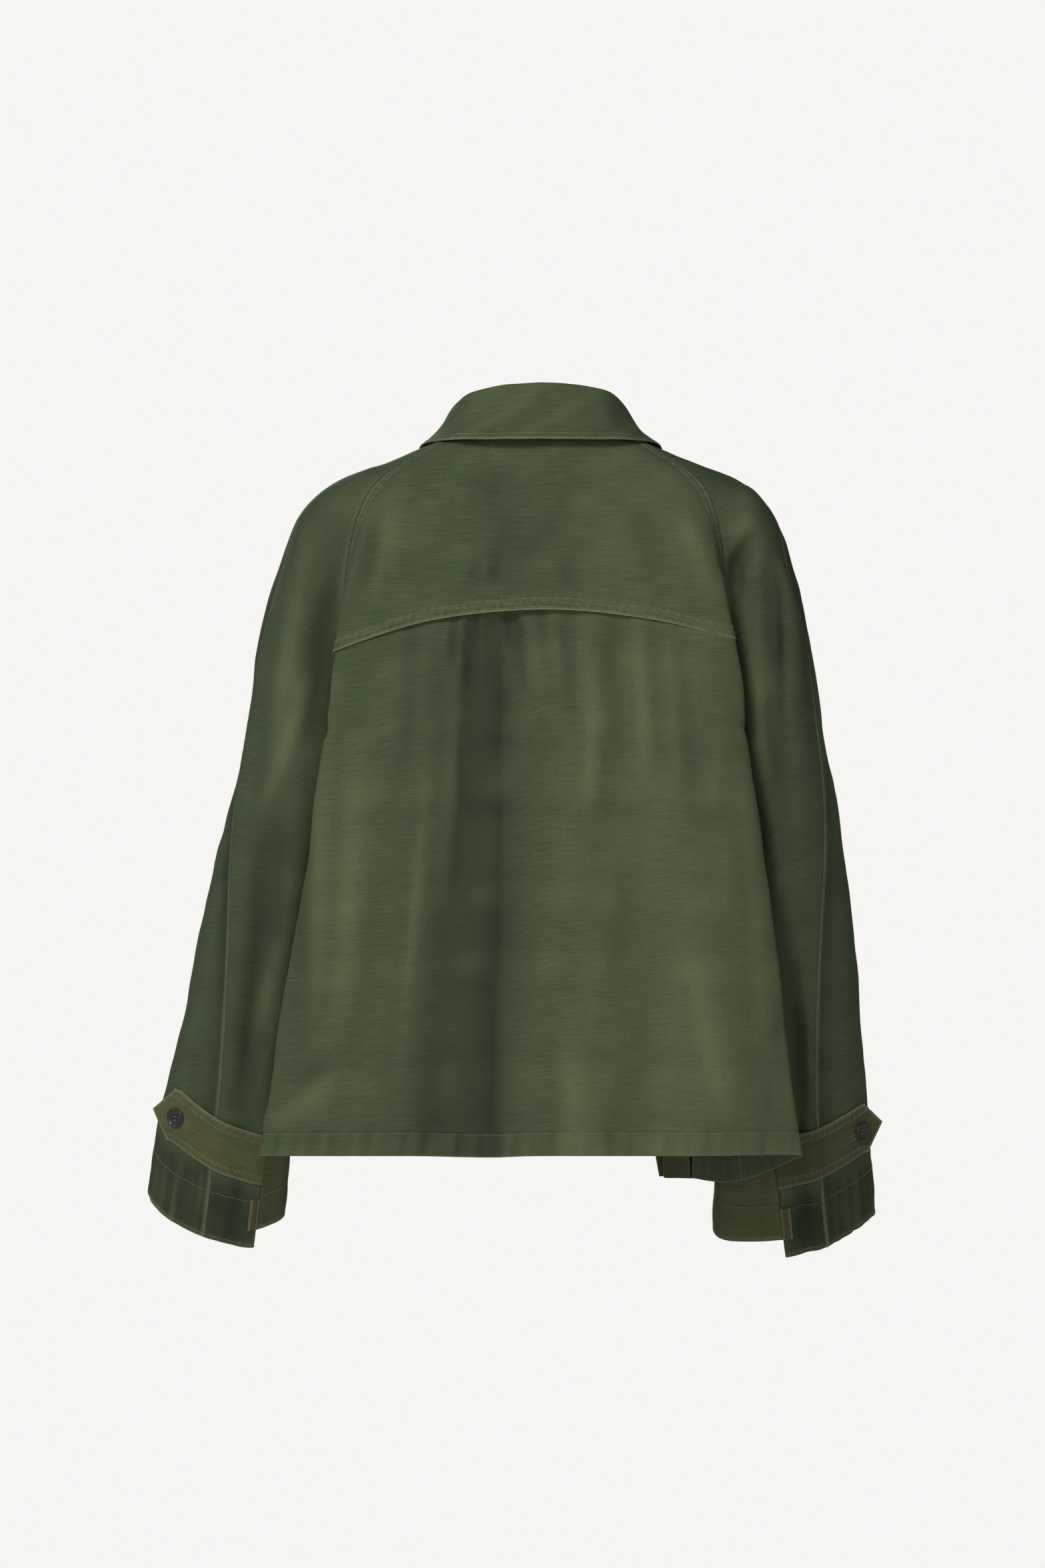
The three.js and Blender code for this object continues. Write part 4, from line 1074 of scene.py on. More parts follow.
BACK_FOLDS = (
    Fold(34, 62, 26, -9, 4.9, 8.4), Fold(92, 128, 34, 7, 5.2, 8.6), Fold(-26, -24, 34, 7, 5, 8.6),
    Fold(-86, -104, 26, -6, 4.9, 8.6), Fold(-132, -164, 26, 6, 5.3, 8.6),
    Fold(140, 186, 22, -6, 5.2, 8.6),
)
YOKE_HOLLOWS = (Fold(30, 30, 30, -4, 1.6, 5.4), Fold(-58, -58, 26, -3, 1.2, 4.6))
GATHERS = (58, 36, 20, -30, -84)


def back_relief(at: Array, x: Array, folds: tuple[Fold, ...]) -> Array:
    """Sum of the long folds: bells across the back that widen and move out towards the hem."""
    share = np.clip((at - YOKE_EDGE) / (HEM - YOKE_EDGE), 0, 1)
    total = np.zeros(x.shape)
    for f in folds:
        ridge = f.x + (f.hem_x - f.x) * share + SWAY
        total += f.depth * between(f.start, f.stop, at) * bump(x - ridge, f.half * (1 + 0.5 * share))
    return total


@dataclass(frozen=True)
class Topstitch:
    """A seam or edge that is turned and stitched down.

    Attributes:
        edge: The panel's edge that it follows.
        rows: Distances of its stitch rows from that edge, mm.
        band: Width of the doubled cloth, mm, or 0 where there is none.
        rise: How far the doubled cloth stands up, mm.
        pucker: Depth of the puckers between the rows, mm.
        period: Their mean length, mm.
        seed: Shifts the puckers.
        free: Whether the edge is an open one. A sewn edge stays at the seam.
        start: Share of the edge's length where it begins to show.
        stop: Share where it ends.
        paler: How pale the ridges are worn.
    """

    edge: Edge
    rows: tuple[float, ...]
    band: float = 0.0
    rise: float = 0.45
    pucker: float = 0.35
    period: float = 7.0
    seed: float = 0.0
    free: bool = False
    start: float = 0.0
    stop: float = 1.0
    rubbed: float = 0.5

    def shown(self, cloth: Cloth) -> Array:
        """1 along the stretch of the edge that shows, and 0 past its ends, which are soft."""
        s = cloth.along_edge(self.edge)
        part = s / np.maximum(s.max(), 1e-6)
        low = smooth(self.start - 0.02, self.start + 0.02, part) if self.start > 0 else 1.0
        high = 1 - smooth(self.stop - 0.02, self.stop + 0.02, part) if self.stop < 1 else 1.0
        return low * high

    def relief(self, cloth: Cloth) -> Array:
        """A raised band, drawn in along each row of stitches and puckered between them."""
        d, s = cloth.from_edge(self.edge), cloth.along_edge(self.edge)
        start = 1.0 if self.free else smooth(0, 1.6, d)
        height = np.zeros_like(d)
        if self.band:
            height += self.rise * start * (1 - smooth(self.band - 0.9, self.band + 0.9, d))
        # Each row pulls the cloth in by 0.3 mm, and gathers it a little on both sides.
        for row in self.rows:
            height -= 0.3 * bump(d - row, 1.0)
            height -= 0.5 * self.pucker * bump(d - row, 2.6) * ripple(s, self.period * 0.7, row + 1)
        if self.band:
            half = self.band / 2
            height -= self.pucker * bump(d - half, half) * ripple(s, self.period, self.seed)
        return height * self.shown(cloth)

    def wear(self, cloth: Cloth) -> Array:
        """Pale where it is worn: the very edge, and the puckers' tops inside the band."""
        d, s = cloth.from_edge(self.edge), cloth.along_edge(self.edge)
        ridge = 1 - ripple(s, self.period, self.seed)
        # A sewn edge stays down in the seam, so that its pale line lies 2.6 mm inside it.
        rim = bump(d, 0.9) if self.free else 0.8 * bump(d - 2.6, 1.3)
        inside = (1 - smooth(self.band, self.band + 1.5, d)) if self.band else bump(d, 1.5)
        return self.rubbed * (0.85 * rim + 0.3 * inside * ridge) * self.shown(cloth)

    def shade(self, cloth: Cloth) -> Array:
        """Painted shade in the seam groove, next to the stitches and in the puckers' hollows."""
        d, s = cloth.from_edge(self.edge), cloth.along_edge(self.edge)
        tone = 0.0 if self.free else bump(d, 1.7)
        # The shadow lies 1.5 mm inside each row, on the side away from the edge.
        for row in self.rows:
            tone = tone + 0.5 * bump(d - row - 1.5, 1.0) * (0.4 + ripple(s, self.period, row))
        if self.band:
            dips = ripple(s, self.period, self.seed) ** 2
            tone = tone + 0.45 * dips * (1 - smooth(self.band - 1, self.band + 1, d))
        return tone * self.shown(cloth)

    def sew(self, cloth: Cloth, stitching: Stitching) -> None:
        """Lays the rows of stitches on the finished surface."""
        for row in self.rows:
            points, normals = cloth.line(self.edge, row)
            low, high = int(self.start * len(points)), int(self.stop * len(points))
            stitching.run(points[low:high], normals[low:high])


@dataclass
class Tailor:
    """Makes panels: it keeps the workroom, the stitches and every finished cloth."""

    room: Workroom
    stitching: Stitching
    cloths: dict[str, Cloth]

    def finish(self, name: str, cloth: Cloth, finish: ClothFinish, seams: tuple[Topstitch, ...],
               cut: tuple[float, float, float], thick: float = 1.1) -> bpy.types.Object:
        """Adds the stitched seams to a cloth and makes its shell in place of its solid.

        Args:
            name: The solid that it stands for.
            cloth: Its surface.
            finish: What it is made of.
            seams: Its stitched seams and edges.
            cut: Width, length and area of the piece that was cut, m and m2. It is not used.
            thick: Its wall, mm.

        Returns:
            The piece.
        """
        rest = np.min([smooth(0, 25, cloth.from_edge(edge)) for edge in Edge], axis=0)
        # Broad and small unevenness of worn cloth, of about 120 and 46 mm, away from the seams.
        uneven = 2.4 * swell(cloth.grid, 120, 0.7) + 0.8 * swell(cloth.grid, 46, 2.9)
        done = cloth.raised(sum((seam.relief(cloth) for seam in seams), uneven * rest))
        done.wear = np.clip(sum((seam.wear(cloth) for seam in seams), done.wear), 0, 1)
        done.shade = np.clip(sum((seam.shade(cloth) for seam in seams), done.shade), 0, 1)
        for seam in seams:
            seam.sew(done, self.stitching)
        self.cloths[name] = done
        obj = self.room.shell(f"{name}_cloth", done, finish, thick)
        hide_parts(name)
        return obj


BACK_WEIGHTS = (2, 3, 6, 6, 6, 6, 3, 2)  # the solid's columns per stretch, from seam to seam
NARROW = 15  # creases with a half width under this: ridges are worn pale, troughs get painted shade, mm


def inside_row(share: Array) -> Array:
    """0 at both ends of a row and 1 away from them, so that folds end before the seams."""
    return smooth(0, 0.1, share) * (1 - smooth(0.9, 1, share))


def long_folds(folds: tuple[tuple[float, ...], ...], at: Array, share: Array,
               ease: float = 0.5) -> Array:
    """Sum of the long folds of a front or a sleeve, which end before its seams.

    Args:
        folds: Place and half width in shares of a row, depth in mm, first and last section.
        at: The section of each row, (R, 1).
        share: Where each point lies in its row, from the outer end, (R, C).
        ease: How many sections a fold takes to rise or to fall.

    Returns:
        The height, mm, (R, C).
    """
    return sum(depth * between(start, stop, at, ease) * bump(share - place, half)
               for place, half, depth, start, stop in folds) * inside_row(share)


def creased(cloth: Cloth, creases: tuple[Crease, ...], top: float = 0.0) -> Cloth:
    """The cloth with creases laid on it, which die away at the seams on both sides.

    Narrow ridges are worn pale, and narrow troughs get painted shade.

    Args:
        cloth: The panel.
        creases: Its creases.
        top: Length over which they begin below the upper edge, mm, or 0 for no such stretch.

    Returns:
        The creased cloth.
    """
    height, worn, painted_shade = (np.zeros(cloth.share.shape) for _ in range(3))
    seam = np.minimum(cloth.from_edge(Edge.FIRST), cloth.from_edge(Edge.LAST))
    for crease in creases:
        relief = crease.relief(cloth.grid) * smooth(0, 10, seam)
        if top:
            relief = relief * smooth(0, top, cloth.down)
        height += relief
        if crease.half < NARROW:
            share = np.abs(relief) / max(abs(crease.depth), 1e-6)
            worn += 0.22 * share ** 2 * (crease.depth > 0)
            painted_shade += 0.4 * share ** 1.5 * (crease.depth < 0)
    done = cloth.raised(height)
    done.wear = done.wear + worn
    done.shade = done.shade + painted_shade
    return done


@dataclass(frozen=True)
class BackYoke:
    """The cape-like yoke, with a double-stitched and puckered lower edge."""

    stitch_rows: tuple[float, float] = (2.3, 10.2)
    creases: tuple[Crease, ...] = (
        Crease(((-34, -30), (-2, -70), (36, -112)), 14, -4.5, 22, 1.6),
        Crease(((40, 0), (32, -40), (34, -112)), 14, -3.5, 20, 1.6),
        Crease(((52, -10), (38, -50), (30, -100)), 18, 1.2),
        Crease(((146, -43), (148, -78), (157, -125)), 7, -1.6),
        Crease(((120, -20), (132, -60), (136, -110)), 12, 1.2),
        Crease(((-70, -28), (-92, -62), (-108, -112)), 13, -1.4),
        Crease(((-118, -40), (-136, -80), (-146, -124)), 9, 1.4),
        Crease(((60, -118), (58, -100), (56, -84)), 5, -0.9),
        Crease(((44, -116), (40, -98), (38, -80)), 5, -1.1),
        Crease(((-24, -118), (-22, -100), (-22, -86)), 6, -0.8),
    )

    def dress(self, tailor: Tailor) -> None:
        """Builds the yoke between the two raglan seams and sews both of its rows."""
        course = Course(Form.upper, ("left.seam", "right.seam"), BACK_WEIGHTS)
        cloth = course.weave(0, YOKE_EDGE, Mesh(2.2, 1.0, 13, 15))
        x, at = cloth.grid[..., 0], cloth.at[:, None]
        flat = cloth.raised(back_relief(at, x, YOKE_HOLLOWS) * inside_row(cloth.share))
        cloth = creased(flat, self.creases)
        # Painted light brightens the yoke's half on the wearer's right, over mottled wear.
        cloth.wear = (cloth.wear + 0.1 * smooth(0, 60, -cloth.grid[..., 0])
                      + 0.16 * cloth.mottled(61, 1.0, 47, 2.0))
        cloth.level = True
        tailor.finish("back_yoke", cloth, SHELL, (
            Topstitch(Edge.BOTTOM, self.stitch_rows, 12.2, 1.0, 1.5, 6.1, 0.7, True, rubbed=0.9),
            Topstitch(Edge.FIRST, (1.7, 9.6), 11.0, 0.6, 0.7, 7.3, 1.9, stop=0.63),
            Topstitch(Edge.LAST, (1.7, 9.6), 11.0, 0.6, 0.7, 7.9, 2.6, stop=0.63, rubbed=0.7),
        ), (0.46, 0.265, 0.063))


@dataclass(frozen=True)
class BackPanel:
    """The flared lower back, gathered below the yoke, with folded sides and a wide hem."""

    hem_row: float = 19.0
    gather_half: float = 7.0
    gather_depth: float = -3.0
    gather_reach: float = 0.75
    turn_columns: float = 2.6  # where the sides fold over, in the solid's columns
    creases: tuple[Crease, ...] = (
        Crease(((33, -117), (37, -240), (36, -357), (41, -473), (43, -760)), 40, -26, 95, 1.0, 0.5),
        Crease(((100, -150), (108, -300), (116, -450), (126, -650)), 40, 7.0, 34, 1.8, 0.5),
        Crease(((-150, -120), (-158, -300), (-168, -450), (-176, -660)), 120, 9.0, 30, 1.8, 0.5),
        Crease(((222, -300), (232, -420), (240, -520), (246, -640)), 15, -3.0, 16, 1.6, 0.5),
        Crease(((70, -136), (72, -180), (76, -260), (84, -400)), 9, 3.0, 7),
        Crease(((96, -200), (100, -300), (112, -420), (124, -560)), 6, 1.6, 14, 1.4),
        Crease(((-44, -130), (-46, -220), (-44, -330)), 6, 1.8, 9),
        Crease(((-84, -130), (-88, -200), (-92, -300)), 6, 1.8, 9),
        Crease(((-128, -420), (-146, -520), (-170, -600)), 12, 2.6, 22, 1.6),
        Crease(((-20, -480), (-30, -560), (-34, -660)), 14, 2.4, 22, 1.6),
        Crease(((88, -500), (92, -560), (96, -660)), 12, -2.6, 20, 1.6),
        Crease(((110, -128), (113, -190), (120, -290)), 8, -2.6, 6),
        Crease(((76, -122), (75, -150), (76, -185)), 3.5, -1.8, taper=0.3),
        Crease(((60, -116), (58, -150), (58, -205)), 4.5, -4.0, 3.5, taper=0.3),
        Crease(((28, -112), (27, -150), (23, -205)), 4.0, -3.4, 4, taper=0.3),
        Crease(((2, -116), (0, -145), (-3, -190)), 4, -2.0, 5, taper=0.3),
        Crease(((-25, -118), (-27, -170), (-29, -240)), 6, -2.0, 5),
        Crease(((-66, -122), (-67, -170), (-70, -250)), 7, -2.2, 5),
        Crease(((-100, -128), (-103, -180), (-110, -290)), 9, -2.6, 7),
        Crease(((-118, -135), (-124, -200), (-132, -300)), 7, -1.6),
        Crease(((206, -260), (208, -400), (212, -560)), 12, -3.2, 9),
        Crease(((160, -220), (166, -360), (176, -520)), 14, 2.2),
        Crease(((190, -200), (194, -300), (196, -400), (198, -500)), 12, 1.5),
        Crease(((168, -528), (206, -560), (248, -588)), 8, 4.0, 20, 1.6),
        Crease(((182, -516), (204, -548), (226, -575)), 12, -3.0),
        Crease(((-130, -170), (-138, -300), (-150, -450)), 14, -1.8),
        Crease(((-172, -230), (-184, -380), (-198, -560)), 9, 1.4),
        Crease(((-86, -300), (-92, -420), (-98, -560)), 20, -1.6),
    )

    def gathers(self, at: Array, x: Array) -> Array:
        """Short narrow troughs that fade out below the yoke."""
        fade = 1 - smooth(YOKE_EDGE, YOKE_EDGE + self.gather_reach, at)
        return sum(self.gather_depth * fade * bump(x - place - SWAY, self.gather_half)
                   for place in GATHERS)

    def dress(self, tailor: Tailor) -> None:
        """Builds the panel from behind the yoke's edge down to the hem."""
        ends = ("left.seam", "right.seam")
        course = Course(Form.upper, ends, BACK_WEIGHTS, Form.lower, ends, BODY_JOIN)
        cloth = course.weave(TUCK_END, HEM, Mesh(2.75, 1.2, 7, 23))
        x, at = cloth.grid[..., 0], cloth.at[:, None]
        # Its top lies under the yoke's edge, and comes out to the surface below it.
        tucked = ((CLOTH + SEAM_GAP) * (1 - smooth(YOKE_EDGE + 0.1, YOKE_EDGE + 0.7, at))
                  + 0.4 * bump(cloth.down - 14, 9))
        folds = back_relief(at, x, BACK_FOLDS) + self.gathers(at, x)
        folds = folds * smooth(YOKE_EDGE, YOKE_EDGE + 0.25, at) + back_relief(at, x, YOKE_HOLLOWS)
        cloth = creased(cloth.raised(folds * inside_row(cloth.share) - tucked), self.creases, 16.0)
        below_yoke = 0.7 * bump(np.maximum(cloth.down - 18, 0), 26)
        cloth = cloth.raised(below_yoke * (ripple(cloth.across, 9.5, 0.4) - 0.5))
        # The deep fold is the first crease. Painted shade fills it, and fades over 36 mm on its gentle
        # side and over 10 mm on its steep one.
        line = np.array(self.creases[0].path, float)
        past = cloth.grid[..., 0] - np.interp(-cloth.grid[..., 2], -line[:, 1], line[:, 0])
        past = past + 4 * (ripple(cloth.down, 97, 1.1) - 0.5)
        trough_shade = np.exp(-np.abs(past) / np.where(past > 0, 36, 10))
        # Painted shade also darkens a band near the side on the wearer's left.
        left_side_shade = smooth(0.78, 0.93, np.where(cloth.share < 0.5, 1 - cloth.share, 0))
        cloth.shade = np.clip(cloth.shade + 1.05 * trough_shade * smooth(0, 60, cloth.down)
                              + 0.15 * left_side_shade, 0, 1)
        turn = self.turn_columns / sum(BACK_WEIGHTS)
        folded_edge = bump(cloth.share - turn, 0.008) + bump(1 - cloth.share - turn, 0.008)
        # Painted light brightens the half on the wearer's right.
        cloth.wear = (cloth.wear + 0.14 * smooth(-10, 60, -cloth.grid[..., 0]) + 0.3 * folded_edge
                      + 0.2 * cloth.mottled(67, 3.0, 53, 1.0))
        cloth.level = True
        tailor.finish("back_panel", cloth, SHELL, (
            Topstitch(Edge.BOTTOM, (self.hem_row,), 20.0, 0.3, 0.6, 17.0, 1.3, True, rubbed=0.3),
            Topstitch(Edge.FIRST, (1.8,), 0.0, pucker=0.25, seed=0.6, start=0.2),
            Topstitch(Edge.LAST, (1.8,), 0.0, pucker=0.25, seed=2.2, start=0.2, rubbed=0.9),
        ), (0.68, 0.515, 0.283))


@dataclass(frozen=True)
class Sided:
    """A part that both sides have. Its rows run the opposite way on the left."""

    side: Side

    @property
    def left(self) -> bool:
        """Whether it is the wearer's left one."""
        return self.side is Side.LEFT

    def mirrored_share(self, cloth: Cloth) -> Array:
        """Where each point lies in its row, counted the right side's way, 0 to 1, (R, C)."""
        return 1 - cloth.share if self.left else cloth.share


@dataclass(frozen=True)
class FrontPanel(Sided):
    """A front. It is not seen in the photograph, and is finished plainly."""

    stitch_row: float = 6.0
    inset: float = 1.35  # how far inside the front its facing lies
    weights: tuple[int, ...] = (3, 3, 3, 4)
    folds: tuple[tuple[float, ...], ...] = (
        (0.3, 0.12, 7, 6, 8.6), (0.55, 0.1, -7, 5.4, 8.6), (0.78, 0.1, 6, 5, 8.6))

    def course(self, part: tuple[float, float] = (0.0, 1.0)) -> Course:
        """The front's course: from the front raglan or side seam to the front edge."""
        name = self.side.label
        ends = (f"{name}.front_seam", f"{name}.edge"), (f"{name}.seam", f"{name}.edge")
        weights = self.weights
        if self.left:
            ends, weights = tuple(pair[::-1] for pair in ends), weights[::-1]
        return Course(Form.upper, ends[0], weights, Form.lower, ends[1], BODY_JOIN, part)

    def surface(self, mesh: Mesh, part: tuple[float, float] = (0.0, 1.0)) -> Cloth:
        """The front's surface with its long folds."""
        cloth = self.course(part).weave(0, HEM, mesh)
        return cloth.raised(long_folds(self.folds, cloth.at[:, None], self.mirrored_share(cloth)))

    def dress(self, tailor: Tailor) -> None:
        """Builds the front and its facing."""
        name = self.side.label
        edge, seam = (Edge.FIRST, Edge.LAST) if self.left else (Edge.LAST, Edge.FIRST)
        cloth = self.surface(Mesh(3.0, 1.4, 8, 22))
        cloth.wear = 0.15 * cloth.mottled(43, 1.7, 71, 0.4)
        tailor.finish(f"front_{name}", cloth, SHELL, (
            Topstitch(Edge.BOTTOM, (19.0,), 20.0, 0.35, 0.5, 15.0, 2.3, True, rubbed=0.6),
            Topstitch(edge, (self.stitch_row,), 7.0, 0.3, 0.3, 9.0, 0.2, True),
            Topstitch(seam, (1.8, 9.6), 11.0, 0.35, 0.3, 7.0, 0.9, stop=0.36),
        ), (0.225, 0.715, 0.125))
        facing = self.surface(Mesh(3.6, 1.6, 6, 10), (0.0, 0.44) if self.left else (0.56, 1.0))
        tailor.finish(f"facing_{name}", facing.raised(-self.inset), TRIM, (
            Topstitch(seam, (3.0,), 0.0, pucker=0.2, seed=1.2),), (0.1, 0.675, 0.055), 1.0)


# Place and half width in shares of a row, depth in mm, first and last section.
SLEEVE_FOLDS = {
    Side.LEFT: ((0.55, 0.2, -6, 3.4, 9.6), (0.22, 0.2, 7, 5.0, 9.4)),
    Side.RIGHT: ((0.42, 0.16, -8, 3.2, 7.2), (0.7, 0.16, 6, 3.6, 8), (0.55, 0.2, -5, 8, 11.5)),
}
BACK_SLEEVE_CREASES = {
    Side.LEFT: (
        Crease(((176, -66), (184, -110), (196, -170), (206, -260)), 8, -2.2),
        Crease(((206, -60), (218, -120), (226, -200), (232, -330)), 13, 1.6),
        Crease(((222, -230), (232, -330), (244, -450), (252, -560)), 10, -2.0),
        Crease(((196, -150), (214, -220), (236, -280), (258, -330)), 8, 1.4),
        Crease(((236, -420), (246, -470), (262, -530)), 8, 1.3),
    ),
    Side.RIGHT: (
        Crease(((-163, -126), (-172, -92), (-183, -79), (-194, -66)), 9, -8.5, 6, 1.6),
        Crease(((-158, -84), (-170, -64), (-186, -46)), 8, 4.0),
        Crease(((-161, -130), (-171, -98), (-186, -80)), 5, -4.0, 3.5, 1.2),
        Crease(((-209, -90), (-208, -151), (-207, -210)), 5, -3.0, 4),
        Crease(((-208, -60), (-209, -151), (-210, -285)), 8, -5.5, 6),
        Crease(((-186, -110), (-189, -180), (-192, -300)), 13, 5.0),
        Crease(((-176, -20), (-184, -60), (-188, -110)), 12, 5.0),
        Crease(((-172, -150), (-176, -220), (-180, -300)), 9, -2.0),
        Crease(((-204, -330), (-206, -430), (-206, -540)), 12, 2.0),
        Crease(((-214, -480), (-220, -540), (-228, -600)), 3, 2.0, 4),
        Crease(((-226, -430), (-232, -500), (-240, -590)), 5, -2.5, 4),
        Crease(((-186, -300), (-190, -420), (-192, -530)), 9, -2.4),
        Crease(((-222, -560), (-226, -610), (-232, -650)), 6, 1.6),
    ),
}
FRONT_SLEEVE_CREASES = {
    Side.LEFT: (
        Crease(((240, -60), (262, -180), (276, -330), (288, -480)), 9, -1.8),
        Crease(((250, -40), (272, -160), (290, -330)), 8, 1.4),
    ),
    Side.RIGHT: (
        Crease(((-222, -70), (-236, -150), (-242, -260)), 7, -1.8),
        Crease(((-236, -90), (-246, -210), (-250, -380)), 8, 1.6),
    ),
}


@dataclass(frozen=True)
class Sleeve(Sided):
    """A raglan sleeve: a back half, a front half and an olive panel under the arm."""

    vent: float = 17.0
    cuff_row: float = 44.0

    @property
    def edges(self) -> tuple[Edge, Edge]:
        """The grid's edges at a course's first and last line."""
        return (Edge.FIRST, Edge.LAST) if self.left else (Edge.LAST, Edge.FIRST)

    @staticmethod
    def cuff(cloth: Cloth) -> Array:
        """1 below the strap and 0 above it, (R, C)."""
        return smooth(CUFF_TOP, CUFF_DRAWN, cloth.at[:, None]) * np.ones_like(cloth.share)

    @property
    def last_step(self) -> float:
        """Length of the arm's axis over its last section, mm."""
        return float(np.linalg.norm(column(ARM, "centre", 11) - column(ARM, "centre", 10)))

    @property
    def under_end(self) -> float:
        """The section where the under panel ends, short of the cuff."""
        return CUFF_END - self.vent / self.last_step

    def arm(self, at: Array) -> Section:
        """The sleeve's closed sections on this side."""
        return Form.arm(self.side, at)

    def course(self, first: str, last: str, weights: tuple[int, ...]) -> Course:
        """A course from one named line of the sleeve to another, on the left side's order."""
        name, below = self.side.label, {"seam": "back_seam"}
        ends = (first, last) if self.left else (last, first)
        return Course(Form.upper, (f"{name}.{ends[0]}", f"{name}.{ends[1]}"), weights, self.arm,
                      (below.get(ends[0], ends[0]), below.get(ends[1], ends[1])), SLEEVE_JOIN)

    def dress(self, tailor: Tailor) -> None:
        """Builds the three panels and sews them."""
        self.back_half(tailor)
        self.front_half(tailor)
        self.under_panel(tailor)

    def back_half(self, tailor: Tailor) -> None:
        """From the overarm seam to the raglan seam and the back seam below it."""
        left, (first, last) = self.left, self.edges
        cloth = self.course("over", "seam", (4, 4)).weave(0, CUFF_END, Mesh(2.6, 1.3, 7, 8))
        share = self.mirrored_share(cloth)
        relief = long_folds(SLEEVE_FOLDS[self.side], cloth.at[:, None], share, 1.0)
        cloth = creased(cloth.raised(relief), BACK_SLEEVE_CREASES[self.side])
        cuff = self.cuff(cloth)
        cloth = cloth.raised(0.8 * cuff * (ripple(cloth.across, 15, 0.9) - 0.5))
        # Painted shade over the sleeve, deepest below the strap. On the right it is lighter on the
        # side towards the body, and on the left that side gets painted light instead.
        inner = 1 - smooth(0.15, 0.55, share)
        cloth.shade = np.clip(cloth.shade + 0.3 - 0.3 * inner * (not left) + 0.75 * cuff, 0, 1)
        cloth.wear = cloth.wear + 0.08 * inner * left + 0.14 * cloth.mottled(37, 0.9, 59, 0.2)
        cloth = cloth.trimmed(5.0 * left * smooth(0, 1, share))
        tailor.finish(f"sleeve_back_{self.side.label}", cloth, SHELL, (
            Topstitch(Edge.BOTTOM, (3.0,), 5.0, 0.3, 0.35, 9.0, 0.5, True),
            Topstitch(Edge.BOTTOM, (self.cuff_row,), 0.0, pucker=0.4, period=11, rubbed=0.1),
            Topstitch(first, (2.0,), 3.4, 0.3, 0.3, 8.0, 1.0, start=0.02, stop=0.3),
            Topstitch(last, (), 2.2, 0.35, 0.2, 8.0, 1.5, rubbed=0.25),
        ), (0.115, 0.84, 0.06))

    def front_half(self, tailor: Tailor) -> None:
        """From the front seam to the overarm seam, pleated where the strap draws it in."""
        left, (first, last) = self.left, self.edges
        cloth = self.course("front_seam", "over", (3, 3, 3)).weave(
            0, CUFF_END, Mesh(3.2, 1.4, 7, 8))
        cloth = creased(cloth, FRONT_SLEEVE_CREASES[self.side])
        cuff = self.cuff(cloth)
        out = 1 - self.mirrored_share(cloth)
        side_on = bump(out - 0.7, 0.35)
        pleats = ripple(cloth.across, 13, 0.3)
        gathered = 1.2 if left else 3.4
        cloth = cloth.raised(gathered * cuff * side_on * (pleats - 0.5))
        # Painted shadow next to the overarm seam, over painted shade on the whole half, deepest below
        # the strap.
        beside = 1 - smooth(3, 24, cloth.from_edge(last))
        cloth.shade = np.clip(cloth.shade + 0.25 + 0.6 * beside + 0.75 * cuff, 0, 1)
        cloth.wear = (cloth.wear + 0.5 * cuff * side_on * pleats ** 4
                      + 0.14 * cloth.mottled(41, 2.9, 57, 1.2))
        cloth = cloth.trimmed(left * (14.0 - 9.0 * smooth(0.5, 1, out)))
        tailor.finish(f"sleeve_front_{self.side.label}", cloth, SHELL, (
            Topstitch(Edge.BOTTOM, (3.0,), 5.0, 0.3, 0.35, 9.0, 2.5, True),
            Topstitch(Edge.BOTTOM, (self.cuff_row,), 0.0, pucker=0.4, period=11, rubbed=0.1),
            Topstitch(last, (), 2.6, 0.6, 0.3, 9.0, 0.4, rubbed=0.7),
            Topstitch(first, (), 2.2, 0.35, 0.3, 9.0, 0.8, rubbed=0.3),
        ), (0.235, 0.835, 0.128))

    def under_panel(self, tailor: Tailor) -> None:
        """The olive panel under the arm, from the back seam to the front seam."""
        first, last = self.edges
        ends = ("back_seam", "front_seam") if self.left else ("front_seam", "back_seam")
        course = Course(self.arm, ends, (4, 4), self.arm, ends, UNDERARM)
        cloth = course.weave(UNDER_START, self.under_end, Mesh(2.9, 1.2, 6, 8))
        seam = np.minimum(cloth.from_edge(first), cloth.from_edge(last))
        cloth = cloth.raised((ripple(cloth.across, 31, 1.3) - 0.5) * smooth(0, 12, seam))
        cloth.wear = 0.12 * cloth.mottled(29, 2.0, 51, 1.0)
        tailor.finish(f"sleeve_under_{self.side.label}", cloth, TRIM, (
            Topstitch(Edge.BOTTOM, (2.5,), 3.5, 0.2, 0.2, 9.0, 0.5, True, rubbed=0.4),
            Topstitch(Edge.BOTTOM, (32.0,), 0.0, pucker=0.35, period=11),
            Topstitch(first, (), 1.8, 0.3, 0.2, 8.0, 1.0, rubbed=0.2),
            Topstitch(last, (), 1.8, 0.3, 0.2, 8.0, 2.0, rubbed=0.2),
        ), (0.11, 0.467, 0.0365))


